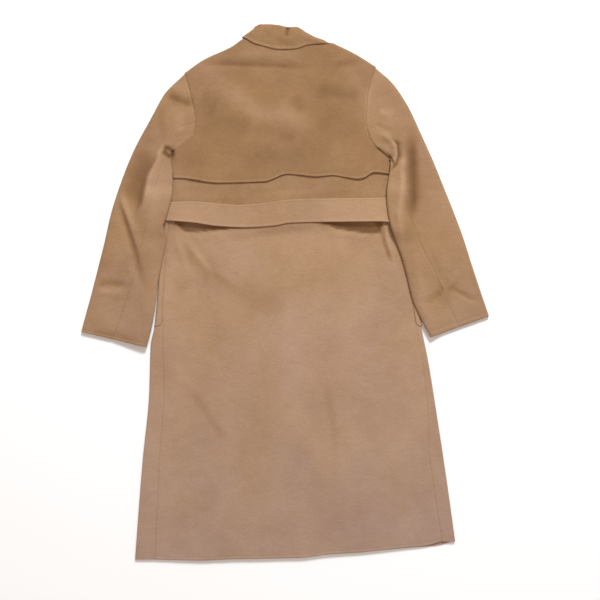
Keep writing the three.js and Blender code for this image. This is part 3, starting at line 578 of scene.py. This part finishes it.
def make_flap():
    """The storm flap over the upper back, with a free wavy edge that stands off unevenly."""
    stand = curve(
        (-262, 0.5), (-225, 1.2), (-205, 2.6), (-170, 1.6), (-90, 0.9), (-28, 1.5), (8, 0.8),
        (60, 1.6), (118, 0.6), (165, 2.2), (190, 2.8), (215, 2.0), (250, 0.8),
    )
    rows = banded_rows([BACK_TOP, FLAP_EDGE], GRID, start=SEAM_STEPS, end=EDGE_STEPS)
    across = lines(480, GRID, SEAM_STEPS, SEAM_STEPS)
    y = rows_to_y(rows, across)
    left = seam_x(-1, y) + HAIRLINE
    right = seam_x(1, y) - HAIRLINE
    x = mix(left, right, across)
    free = y - FLAP_EDGE(across)
    top = BACK_TOP(across) - y
    z = back_top(x, y) + LAYER + stand(x) * blend(42, 0, free)
    z += ARMHOLE_SHOWS[-1](y) * seam_dip(x - left, 1.3) + ARMHOLE_SHOWS[1](y) * seam_dip(right - x, 1.3)
    z += felled_edge(free, 0.15)
    rounding = 1 - np.sqrt(1 - (1 - np.clip(top / 7, 0, 1)) ** 2)
    z -= 3.6 * rounding
    # A painted highlight runs along the flap's rolled free edge
    piece = shell("coat_flap", x, y, z, LEVEL["flap"] + painted_edge_highlight(free))
    finish(piece, "wool_flap", (0.52, 0.32), 0.125, ["coat_back"], "back_flap")


def make_front(side, name, node):
    """A front: from its side seam on the back, round the folded side, to its free edge underneath."""
    bounds = [FRONT_TOP, FLAP_EDGE, BELT_TOP, BELT_BOTTOM, HEM]
    rows = banded_rows(bounds, COARSE, end=EDGE_STEPS)
    free = 0.61 if side < 0 else 0.39
    start = ACROSS[side]
    columns = []
    for share in lines(30, 5, SEAM_STEPS, (0.0, 1.0)):
        columns.append(("over", share))
    for angle in np.linspace(math.pi / 2, -math.pi / 2, 13)[1:-1]:
        columns.append(("turn", angle))
    for share in np.linspace(0, 1, 30):
        columns.append(("under", share))
    xs, ys, zs = [], [], []
    for kind, value in columns:
        across = mix(start, free, value) if kind == "under" else start
        y = rows_to_y(rows, np.array([across]))[:, 0]
        edge = EDGES[side](y)
        lift = belt_lift(across, y)
        radius = SIDE_TOP / 2
        inset = (seam_x(side, y) - edge) + side * HAIRLINE
        below = blend(UNDERARM_Y[side] + 2, UNDERARM_Y[side] - 12, y)
        if kind == "over":
            x = edge + inset * (1 - value)
            z = lift + SIDE_TOP * mix(0.5, 1, below)
            z += seam_dip(np.abs(inset * value), 0.55) * blend(0.5, 3.0, np.abs(inset))
        elif kind == "turn":
            x = edge + side * radius * below * math.cos(value)
            z = lift + mix(0.5, 1, below) * radius * (1 + math.sin(value))
        else:
            x = mix(LEFT_EDGE(y), RIGHT_EDGE(y), across)
            tucked = blend(0.34, 0.39, across) * LAYER if side < 0 else 0.0
            z = lift + tucked + 0 * y
        xs.append(x)
        ys.append(y)
        zs.append(z)
    x, y, z = (np.stack(part, axis=1) for part in (xs, ys, zs))
    piece = shell(name, x, y, z, LEVEL["body"], flip=side < 0)
    others = ["coat_front_right"] if side < 0 else []
    finish(piece, "wool_body", (0.46, 1.17), 0.41, others, node)


# The belt and its loops

# The belt's width, and the share of the coat's width that each end runs underneath
BELT_WIDTH = 52
BELT_REACH = 0.56

# How far the belt stands off the coat along its lower and its upper edge, by x
BELT_STAND_LOW = curve(
    (-262, 3.0), (-248, 5.0), (-225, 6.0), (-190, 4.0), (-150, 2.0), (-90, 1.3), (-24, 1.0),
    (10, 0.5), (70, 0.6), (100, 2.4), (150, 5.5), (200, 7.0), (222, 6.0), (240, 4.0), (262, 2.5),
)
BELT_STAND_HIGH = curve((-262, 3.0), (-200, 1.0), (-60, 0.6), (140, 0.8), (210, 1.6), (262, 3.0))


def belt_top(x, y):
    """Height of the belt's upper face: it stands off the coat, most of all along its lower edge."""
    across = body_across(x, y)
    down = (BELT_TOP(across) - y) / (BELT_TOP(across) - BELT_BOTTOM(across))
    base = mix(back_top(x, BELT_TOP(across)), back_top(x, BELT_BOTTOM(across)), 0.5)
    stand = mix(BELT_STAND_HIGH(x), BELT_STAND_LOW(x), np.clip(down, 0, 1) ** 1.4)
    return base + LAYER + stand + 0.4 * drift(x, y, 34, 8)


def make_belt():
    """The belt: over the back, round both sides and under the coat, where its ends overlap."""
    down = lines(BELT_WIDTH, 5, EDGE_STEPS, EDGE_STEPS)
    columns = [("under", -1, share) for share in np.linspace(1, 0, 24)]
    columns += [("turn", -1, angle) for angle in np.linspace(-math.pi / 2, math.pi / 2, 13)[1:-1]]
    columns += [("over", 0, share) for share in np.linspace(0, 1, 130)]
    columns += [("turn", 1, angle) for angle in np.linspace(math.pi / 2, -math.pi / 2, 13)[1:-1]]
    columns += [("under", 1, share) for share in np.linspace(0, 1, 24)]
    xs, ys, zs = [], [], []
    for kind, side, value in columns:
        start = 0.0 if side < 0 else 1.0
        across = value if kind == "over" else start
        if kind == "under":
            across = mix(start, 1 - start, BELT_REACH * value)
        across = np.array([across])
        high, low = BELT_TOP(across), BELT_BOTTOM(across)
        y = mix(high, low, down)
        edge = mix(LEFT_EDGE(y), RIGHT_EDGE(y), across)
        free = np.minimum(high - y, y - low)
        if kind == "over":
            x = edge
            z = belt_top(x, y) + felled_edge(free, 0.08)
        elif kind == "turn":
            top = belt_top(edge, y)
            x = edge + side * (top / 2) * math.cos(value)
            z = top / 2 + (top / 2) * math.sin(value)
        else:
            x = edge
            z = 0 * y + (LAYER * blend(0.60, 0.56, across) if side > 0 else 0.0)
        xs.append(x)
        ys.append(y)
        zs.append(z)
    x, y, z = (np.stack(part, axis=1) for part in (xs, ys, zs))
    # The belt's colour is lighter towards both ends, and a painted highlight runs along its lower edge
    nap_tone_and_painted_light = LEVEL["belt"] + 0.14 * blend(-60, -110, x) + 0.22 * blend(40, 110, x)
    piece = shell("coat_belt", x, y, z, nap_tone_and_painted_light + 0.6 * painted_edge_highlight((1 - down) * BELT_WIDTH)[:, None])
    finish(piece, "wool_belt", (1.24, 0.05), None, ["coat_back"], "belt")


# How far outside the side seam each loop lies, its width, and how far it runs above and below the belt
LOOP_OUT = {-1: 9, 1: -2}
LOOP_WIDTH, LOOP_ABOVE, LOOP_BELOW = 7.0, 16, 22


def make_loop(side, name, node):
    """A narrow carrier over the belt at the side seam, folded to a point at its lower end."""
    across = ACROSS[side]
    high, low = float(BELT_TOP(across)), float(BELT_BOTTOM(across))
    y = np.concatenate([
        np.linspace(high + LOOP_ABOVE, high + 2, 8),
        np.linspace(high, low, 14),
        np.linspace(low - 2, low - LOOP_BELOW, 10),
    ])
    middle = seam_x(side, y) + side * LOOP_OUT[side]
    wide = LOOP_WIDTH * mix(0.25, 1.0, blend(low - LOOP_BELOW, low - 8, y))
    offsets = np.array([-1, -0.8, -0.4, 0, 0.4, 0.8, 1]) / 2
    x = middle[:, None] + wide[:, None] * offsets
    rows = y[:, None] + 0 * x
    over = blend(high + 12, high + 1, rows) * blend(low - 12, low - 1, rows)
    ground = back_top(x, rows)
    z = mix(ground + 1.7, np.maximum(belt_top(x, np.clip(rows, low, high)), ground) + 2.2, over)
    z -= 0.9 * (np.abs(offsets) * 2) ** 4
    piece = shell(name, x, rows, z, LEVEL["loop"], thickness=1.6)
    finish(piece, "wool_belt", (0.01, 0.105), 0.0007, ["coat_belt"], node)


# The pocket welts: where they start along the coat, their length, the roundness of the lower end, how
# far they stop short of the side seam and how far they stand off the cloth
POCKET_TOP, POCKET_LENGTH, POCKET_ROUND = 80, 156, 10
POCKET_SHORT, POCKET_STAND = 1.6, 1.7
POCKET_STEPS = (0.0, 1.0, 2.5, 4.5, 7.0), (0.0, 0.4, 1.2, 2.4, 4.0, 6.5, 10.0)


def make_pocket(side, name, node):
    """The pocket welt beside the side seam. It rounds the folded side and has a round lower end."""
    y = POCKET_TOP - POCKET_LENGTH * lines(POCKET_LENGTH, 5, *POCKET_STEPS)
    edge = EDGES[side](y)
    above_end = y - (POCKET_TOP - POCKET_LENGTH)
    round_end = np.sqrt(np.clip(1 - (1 - np.clip(above_end / POCKET_ROUND, 0, 1)) ** 2, 0.02, 1))
    width = (np.abs(seam_x(side, y) - edge) - POCKET_SHORT) * round_end
    radius = SIDE_TOP / 2 + POCKET_STAND
    xs, zs = [], []
    for share in (0.0, 0.08, 0.2, 0.4, 0.7, 1.0):
        x = edge - side * width * (1 - share)
        xs.append(x)
        zs.append(SIDE_TOP / 2 + radius + felled_edge(width * share, 0.0) * 0.7)
    for angle in np.linspace(math.pi / 2, -0.15, 9)[1:]:
        xs.append(edge + side * radius * math.cos(angle))
        zs.append(SIDE_TOP / 2 + radius * math.sin(angle) + 0 * y)
    x = np.stack(xs, axis=1)
    z = np.stack(zs, axis=1)
    piece = shell(name, x, y[:, None] + 0 * x, z, LEVEL["body"], thickness=1.5, flip=side < 0)
    front = "coat_front_left" if side < 0 else "coat_front_right"
    finish(piece, "wool_body", (0.016, 0.156), None, [front], node)


# The sleeves

SECTIONS = {
    -1: [
        (-226, 491, -252, 316), (-246, 472, -254, 305), (-268, 449, -254, 288), (-305, 383, -251, 262),
        (-340, 317, -252, 216), (-370, 242, -263, 167), (-391, 176, -265, 122), (-406, 110, -274, 70),
        (-420, 54, -284, 23), (-436, -9, -289, -25), (-447, -49, -297, -72), (-457.8, -89, -310, -124),
    ],
    1: [
        (204, 505, 234, 294), (222, 489, 236, 284), (240, 471, 235, 270), (274, 421, 231, 254),
        (307, 351, 226, 216), (333, 293, 228, 185), (356, 236, 235, 147), (380, 176, 246, 117),
        (400, 122, 260, 80), (418, 65, 272, 38), (437, 7, 285, -16), (457.8, -54, 325, -102),
    ],
}

# Folds and creases of each sleeve: (points, width, rise, lean)
SLEEVE_FOLDS = {
    -1: [
        ([(-240, 428), (-258, 408), (-262, 372)], 10, -1.8, 0.2),
        ([(-236, 402), (-230, 372), (-232, 348)], 15, 1.6, 0.0),
        ([(-274, 326), (-298, 280), (-313, 240), (-322, 196), (-336, 168)], 15, 1.6, 0.55),
        ([(-312, 330), (-330, 280), (-338, 220), (-345, 178)], 16, -3.2, 0.0),
        ([(-378, 232), (-362, 190), (-346, 152), (-330, 104), (-318, 62)], 9, 4.2, 0.4),
        ([(-380, 214), (-366, 172), (-352, 130), (-336, 84), (-320, 30), (-312, 0)], 8, -3.6, -0.2),
        ([(-352, 60), (-341, 36), (-350, 12)], 6, 1.6, 0.0),
        ([(-318, 10), (-308, -50), (-304, -92)], 12, 1.8, 0.0),
        ([(-428, 13), (-392, 18), (-350, 12)], 6, -3.4, 0.3),
        ([(-420, -3), (-385, -5), (-362, -6)], 9, 1.8, 0.0),
        ([(-400, -40), (-380, -60), (-350, -66)], 12, -1.0, 0.0),
        ([(-258, 326), (-246, 322), (-228, 322)], 5, -1.8, 0.0),
        ([(-405, 140), (-415, 60), (-432, -20)], 18, 1.6, 0.0),
    ],
    1: [
        ([(205, 402), (228, 396), (250, 404)], 7, 1.5, 0.0),
        ([(200, 376), (222, 364), (236, 356)], 6, -1.8, 0.0),
        ([(206, 350), (222, 348), (238, 338), (248, 322), (248, 302), (238, 284)], 8, 4.2, 0.0),
        ([(240, 346), (253, 330), (256, 304), (249, 286), (238, 270)], 4.0, -5.0, 0.4),
        ([(212, 322), (222, 314), (234, 303), (240, 292)], 3.2, -3.6, 0.0),
        ([(268, 366), (266, 320), (262, 270), (259, 220), (253, 170), (262, 110)], 15, 4.6, 0.45),
        ([(282, 372), (285, 320), (288, 260), (289, 210), (282, 150)], 13, -3.8, -0.3),
        ([(312, 128), (332, 66), (352, 22)], 6, -1.2, 0.0),
        ([(300, -34), (330, -16), (354, 3)], 5.5, -3.6, 0.2),
        ([(360, 8), (384, 2), (412, -14), (434, -22)], 5.5, -3.4, 0.2),
        ([(346, 30), (360, 6), (356, -24)], 7, 2.6, 0.0),
        ([(362, 4), (378, 22), (388, 48)], 4.5, 2.2, 0.0),
        ([(372, 8), (386, 14), (400, 12)], 4, -1.4, 0.0),
        ([(330, 250), (360, 150), (390, 60)], 22, 1.6, 0.0),
        ([(290, 90), (300, 30), (306, -20)], 14, 1.4, 0.0),
    ],
}
HIND_SEAM = 0.625
FORE_SEAM = 0.75

# The hind seam as it lies: its share of the way across, by the share of the way down
HIND_LINE = {
    -1: curve((0, 0.625), (0.3, 0.64), (0.72, 0.6), (0.82, 0.545), (1, 0.477)),
    1: curve((0, 0.625), (0.3, 0.66), (0.7, 0.65), (0.84, 0.56), (1, 0.5)),
}

# How plainly the hind seam shows, by the share of the way down
SEAM_SHOWS = {
    -1: curve((0, 0.1), (0.7, 0.1), (0.76, 1.0), (1, 0.9)),
    1: curve((0, 0.1), (0.6, 0.15), (0.68, 0.9), (0.8, 0.9), (0.88, 0.3), (1, 0.4)),
}
# How high the sleeve's face lies, the roundness of its folded edges, the height where its upper and
# lower side meet, its width and length, and the length by which the way up from its hem is measured
SLEEVE_TOP = 8.2
SLEEVE_ROUND = 7.0
SLEEVE_MIDDLE = 3.4
SLEEVE_WIDTH = 125.0
SLEEVE_LENGTH = 600
SLEEVE_HEM_SCALE = 560

# The gap that each of a sleeve's two pieces leaves at their shared seam, as a share of the width
SEAM_NUDGE = 0.0004

# The shares of the way down an armhole where a sleeve's set-in edge starts and stops
ARMHOLE_ENDS = (0.015, 0.997)

# The left sleeve's inner edge draws back round the belt loop
LOOP_BAY, BAY_Y, BAY_REACH = -7.0, 145, 17


# How far inside the body's edge a sleeve starts to rise over it, and where it is up
LIFT_REACH = {-1: (-95, -8), 1: (-52, -8)}

# The crisp ridge where the left sleeve rises, as x by y, and the hollow beside each underarm
LEFT_RIDGE = curve((327, -267), (314, -278), (300, -286), (254, -311), (199, -322), (150, -345))
HOLLOW = {-1: (-261, 315, 6.5, 4.6), 1: (236, 299, 4.0, 3.0)}


def sleeve_lift(side, x, y):
    """How high the side of the body holds a sleeve that lies over it."""
    across = ACROSS[side]
    inward = side * (EDGES[side](y) - x)
    underarm = UNDERARM_Y[side]
    risen = blend(*LIFT_REACH[side], inward)
    if side < 0:
        risen = mix(risen, blend(-11, 9, x - LEFT_RIDGE(y)), blend(140, 215, y))
    on_body = risen * blend(underarm + 8, underarm - 6, y)
    high, low = BELT_TOP(across) + 10, BELT_BOTTOM(across) - 8
    near_belt = blend(high + 36, high, y) * blend(low - 40, low, y)
    on_flap = blend(228, 252, y)
    return on_body * mix(mix(6.8, 9.6, on_flap), 14.6, near_belt)


def sleeve_plan(side, share, f):
    """Where a share of the way down a sleeve and f of the way across it lies on the surface."""
    at = np.linspace(0, 1, len(SECTIONS[side]))
    out_x, out_y, in_x, in_y = (curve(*zip(at, column)) for column in zip(*SECTIONS[side]))
    across = ACROSS[side]

    def straight(s, g):
        return mix(out_x(s), in_x(s), g), mix(out_y(s), in_y(s), g)

    down = np.clip(f, *ARMHOLE_ENDS)
    hole_y = mix(BACK_TOP(across), float(UNDERARM_Y[side]), down)
    hole_x = EDGES[side](hole_y) + side * 2 * HAIRLINE
    warp = (HIND_LINE[side](share) - HIND_SEAM) * f * (1 - f) / (HIND_SEAM * (1 - HIND_SEAM))
    x, y = straight(share, f + warp)
    start_x, start_y = straight(0 * share, f)
    # The sections give way to the armhole's own line at the sleeve's top
    fade = (1 - np.clip(share / mix(0.35, 0.06, f), 0, 1)) ** 2
    x, y = x + (hole_x - start_x) * fade, y + (hole_y - start_y) * fade
    bay = LOOP_BAY * np.exp(-(((y - BAY_Y) / BAY_REACH) ** 2)) * blend(0.7, 1.0, f)
    return x + (bay if side < 0 else 0.0), y


def sleeve_surface(side, share, f, top):
    """A point of the sleeve's outer face, on its upper or lower side."""
    x, y = sleeve_plan(side, share, f)
    inward = np.minimum(f, 1 - f) * SLEEVE_WIDTH
    radius = SLEEVE_ROUND * mix(0.3, 1.0, blend(0, 0.05, share))
    rounded = np.sqrt(1 - (1 - np.clip(inward / radius, 0, 1)) ** 2)
    base = sleeve_lift(side, x, y)
    if not top:
        return x, y, base + SLEEVE_MIDDLE * (1 - rounded)
    calm = blend(0, 0.14, np.minimum(f, 1 - f)) * blend(0, 0.05, share) * blend(1.02, 0.9, share)
    swell = 0.8 * drift(x, y, 80, 11 + side) + 0.3 * drift(x, y, 30, 14 + side)
    fullness = 1.6 * np.sin(math.pi * np.clip(f, 0, 1)) * blend(0, 0.1, share) * blend(1.0, 0.6, share)
    height = SLEEVE_TOP + fullness + calm * (swell + fold_height(x, y, SLEEVE_FOLDS[side]))
    pit_x, pit_y, pit_radius, pit_depth = HOLLOW[side]
    height -= pit_depth * np.exp(-((x - pit_x) ** 2 + (y - pit_y) ** 2) / pit_radius**2)
    return x, y, base + mix(SLEEVE_MIDDLE, height, rounded)


def make_sleeve(side, piece_name, node, outer):
    """The upper sleeve wraps the outer edge, the under sleeve the inner edge, seam to seam."""
    down = lines(SLEEVE_LENGTH, GRID, SEAM_STEPS, EDGE_STEPS)
    round_steps = SLEEVE_ROUND * (1 - np.cos(np.linspace(0, math.pi / 2, 7))) / SLEEVE_WIDTH
    by_seam = np.array(SEAM_STEPS) / SLEEVE_WIDTH
    if outer:
        over = np.concatenate([HIND_SEAM - by_seam, np.linspace(HIND_SEAM - 0.05, 0.06, 26)[1:]])
        turn_over = round_steps[::-1]
        turn_under = round_steps[1:]
        under = np.linspace(0.07, FORE_SEAM, 16)
    else:
        over = np.concatenate([HIND_SEAM + by_seam, np.linspace(HIND_SEAM + 0.05, 0.94, 17)[1:]])
        turn_over = 1 - round_steps[::-1]
        turn_under = 1 - round_steps[1:]
        under = np.linspace(0.93, FORE_SEAM + 0.004, 7)
    over = over + (-SEAM_NUDGE if outer else SEAM_NUDGE)
    f_top = np.concatenate([over, turn_over])
    f_low = np.concatenate([turn_under, under])
    share, f = np.meshgrid(down, f_top, indexing="ij")
    x1, y1, z1 = sleeve_surface(side, share, f, True)
    hind = np.abs(f - HIND_SEAM) * SLEEVE_WIDTH
    shows = SEAM_SHOWS[side](share)
    armhole_y = mix(BACK_TOP(ACROSS[side]), UNDERARM_Y[side], f)
    z1 += (
        shows * seam_dip(hind, 0.7)
        + ARMHOLE_SHOWS[side](armhole_y) * seam_dip(share * SLEEVE_LENGTH, 1.2)
    )
    z1 += felled_edge((1 - share) * SLEEVE_HEM_SCALE) * blend(0, 0.06, np.minimum(f, 1 - f))
    share, f = np.meshgrid(down, f_low, indexing="ij")
    x2, y2, z2 = sleeve_surface(side, share, f, False)
    x, y, z = (np.concatenate(pair, axis=1) for pair in ((x1, x2), (y1, y2), (z1, z2)))
    flip = (side < 0) == outer
    piece = shell(piece_name, x, y, z, LEVEL["sleeve"], flip=flip)
    flat, area = ((0.22, 0.62), 0.098) if outer else ((0.13, 0.5), 0.052)
    finish(piece, "wool_sleeve", flat, area, ["coat_back"], node)


# The collar

COLLAR = {
    -1: [
        (1, 5.5, 554, 5.5, 593, 5.5, 543), (1, -20, 559, -18, 598, -14, 543),
        (1, -42, 567, -38, 599.5, -47, 550), (1, -62, 572, -58, 599, -72, 558),
        (1, -68, 575, -61, 597, -85, 566), (0, -71, 577, -64, 593, -91, 570),
        (-1, -68, 570, -58, 588, -82, 565), (-1, -44, 532, -26, 566, -48, 528),
        (-1, 4, 492, 4, 534, 4, 488),
    ],
    1: [
        (1, 5.5, 554, 5.5, 593, 5.5, 543), (1, 24, 556, 25, 593.5, 27, 545),
        (1, 44, 558, 46, 582, 48, 552), (1, 62, 558, 66, 571.5, 71, 555),
        (0, 82, 556, 86, 563.5, 96, 557), (-1, 76, 552, 74, 566, 80, 549),
        (-1, 50, 520, 42, 554, 52, 518), (-1, 8, 492, 8, 534, 8, 488),
    ],
}
# Heights of the collar's stand and fall on the back and on the front underneath, and the length of
# each half from centre back to centre front
BACK_STAND, BACK_FALL, FRONT_FALL, FRONT_STAND = 6.3, 12.6, 1.1, 3.6
COLLAR_LENGTH = 230

# Folds of the collar's fall, with the same columns as the others
COLLAR_FOLDS = [
    ([(7, 598), (6, 584), (3, 566)], 4.5, -2.4, 0.0),
    ([(-4, 592), (-8, 576)], 6, 0.9, 0.0),
    ([(-78, 558), (-64, 548), (-48, 545), (-38, 548)], 4, 1.0, 0.0),
    ([(-50, 590), (-20, 575), (6, 568)], 9, 0.9, 0.0),
    ([(20, 580), (60, 566), (90, 560)], 7, 0.9, 0.0),
    ([(-25, 556), (20, 553)], 8, -0.9, 0.0),
]


def make_collar(side, name, node):
    """Half the collar: a stand from the neck seam up to the roll, and a fall folded over outside it.
    It runs from the centre back over the neck's side to the centre front underneath."""
    sections = COLLAR[side]
    at = np.linspace(0, 1, len(sections))
    turn, neck_x, neck_y, fold_x, fold_y, free_x, free_y = (curve(*zip(at, c)) for c in zip(*sections))
    s = lines(COLLAR_LENGTH, 3.2, SEAM_STEPS, ())[:, None]
    half = turn(s) * math.pi / 2

    def ring(high, low):
        return (high + low) / 2 + (high - low) / 2 * np.sin(half), (high - low) / 2 * np.cos(half)

    stand_z, stand_out = ring(BACK_STAND, FRONT_STAND)
    fall_z, fall_out = ring(BACK_FALL, FRONT_FALL)
    roll = np.abs(fall_z - stand_z) / 2 + np.abs(fall_out - stand_out) / 2
    up = np.linspace(0, 1, 9)[None, :]
    top_y = fold_y(s) - CLOTH / 2
    x_stand = mix(neck_x(s), fold_x(s), up) + side * stand_out
    y_stand = mix(neck_y(s), top_y - roll, up)
    z_stand = stand_z + 0 * up
    angle = np.linspace(0, math.pi, 13)[None, 1:-1]
    lap = (1 - np.cos(angle)) / 2
    x_roll = fold_x(s) + side * mix(stand_out, fall_out, lap)
    y_roll = top_y - roll + roll * np.sin(angle)
    z_roll = mix(stand_z, fall_z, lap)
    over = lines(50, 3, (), EDGE_STEPS)[None, :]
    x_fall = mix(fold_x(s), free_x(s), over) + side * fall_out
    y_fall = mix(top_y - roll, free_y(s), over)
    reach = np.hypot(top_y - roll - free_y(s), fold_x(s) - free_x(s))
    edge = felled_edge(reach * (1 - over), 0.12)
    belly = 1.2 * np.sin(math.pi * over)
    wrinkle = fold_height(x_fall, y_fall, COLLAR_FOLDS)
    drape = edge + belly + wrinkle + 0.4 * drift(x_fall, y_fall, 22, 21)
    z_fall = fall_z + drape * np.clip(turn(s), 0, 1)
    x, y, z = (np.concatenate(part, axis=1) for part in (
        (x_stand, x_roll, x_fall), (y_stand, y_roll, y_fall), (z_stand, z_roll, z_fall)))
    by_roll = np.concatenate([0 * up, 0 * angle, 1 - blend(0.1, 0.5, over)], axis=1)
    centre = (1 - blend(0, 5, s * COLLAR_LENGTH)) * by_roll
    z = z - 0.8 * centre
    x = x + side * HAIRLINE * (s == 0)
    # A painted highlight runs along the collar's rolled free edge
    collar_edge_highlight = painted_edge_highlight(reach * (1 - over)) * turn(s)
    plain = np.zeros((len(s), up.size + angle.size))
    nap_tone_and_painted_light = LEVEL["collar"] + np.concatenate([plain, collar_edge_highlight], axis=1)
    piece = shell(name, x, y, z, nap_tone_and_painted_light, offset=0.0, flip=side > 0)
    finish(piece, "wool_collar", (0.24, 0.085), 0.014, ["coat_flap"], node)


make_back()
make_flap()
make_front(-1, "coat_front_left", "front_left")
make_front(1, "coat_front_right", "front_right")
make_belt()
make_loop(-1, "coat_belt_loop_left", "belt_loop_left")
make_loop(1, "coat_belt_loop_right", "belt_loop_right")
make_pocket(-1, "coat_pocket_left", "pocket_left")
make_pocket(1, "coat_pocket_right", "pocket_right")
for side, word in ((-1, "left"), (1, "right")):
    make_sleeve(side, f"coat_sleeve_{word}_upper", f"sleeve_{word}_upper", True)
    make_sleeve(side, f"coat_sleeve_{word}_under", f"sleeve_{word}_under", False)
    make_collar(side, f"coat_collar_{word}", f"collar_{word}")


# The floor, the light and the camera

# How far the floor runs each way and how far it lies under the coat, in metres
FLOOR_REACH = 25.0
FLOOR_DROP = 0.0005


def make_floor():
    """A plain, pale floor that reaches past every view."""
    mesh = bpy.data.meshes.new("floor")
    far = FLOOR_REACH
    mesh.from_pydata([(-far, -far, 0), (far, -far, 0), (far, far, 0), (-far, far, 0)], [], [(0, 1, 2, 3)])
    floor = bpy.data.objects.new("floor", mesh)
    bpy.context.scene.collection.objects.link(floor)
    floor.location.z = -FLOOR_DROP
    material = bpy.data.materials.new("floor")
    material.use_nodes = True
    shader = material.node_tree.nodes["Principled BSDF"]
    shader.inputs["Base Color"].default_value = (0.97, 0.97, 0.97, 1)
    shader.inputs["Roughness"].default_value = 0.9
    mesh.materials.append(material)


def area_light(name, place, target, size, power, colour):
    """A square lamp that faces a target, with places in metres and power in watts."""
    data = bpy.data.lights.new(name, "AREA")
    data.size = size
    data.energy = power
    data.color = colour
    light = bpy.data.objects.new(name, data)
    light.location = place
    direction = np.array(target) - np.array(place)
    light.rotation_euler = Vector(direction).to_track_quat("-Z", "Y").to_euler()
    bpy.context.scene.collection.objects.link(light)


make_floor()
area_light("key", (0.9, 3.7, 3.3), (0, -0.1, 0), 1.2, 262, (0.85, 0.945, 1.0))
area_light("fill", (0.3, -1.6, 3.2), (0, -0.5, 0), 3.0, 16, (1.0, 0.95, 0.9))
world = bpy.data.worlds.new("soft")
world.use_nodes = True
world.node_tree.nodes["Background"].inputs["Color"].default_value = (1.0, 0.86, 0.78, 1)
world.node_tree.nodes["Background"].inputs["Strength"].default_value = 0.5
bpy.context.scene.world = world

# The camera looks straight down at the photo's centre. A pixel of the photo is 2.25 mm, the photo is
# 600 pixels wide and high, and the part's origin is at pixel (285.15, 292.05).
PHOTO_SCALE = 2.25 * MM
PHOTO_SIDE = 600
ORIGIN_PIXEL = (285.15, 292.05)
CENTRE_X = (PHOTO_SIDE / 2 - ORIGIN_PIXEL[0]) * PHOTO_SCALE
CENTRE_Y = (ORIGIN_PIXEL[1] - PHOTO_SIDE / 2) * PHOTO_SCALE
FIELD = PHOTO_SIDE * PHOTO_SCALE
LENS, SENSOR = 50, 36
camera_data = bpy.data.cameras.new("camera")
camera_data.lens = LENS
camera_data.sensor_width = SENSOR
camera = bpy.data.objects.new("camera", camera_data)
camera.location = (CENTRE_X, CENTRE_Y, FIELD * LENS / SENSOR)
bpy.context.scene.collection.objects.link(camera)
bpy.context.scene.camera = camera
bpy.context.scene.view_settings.view_transform = "Standard"
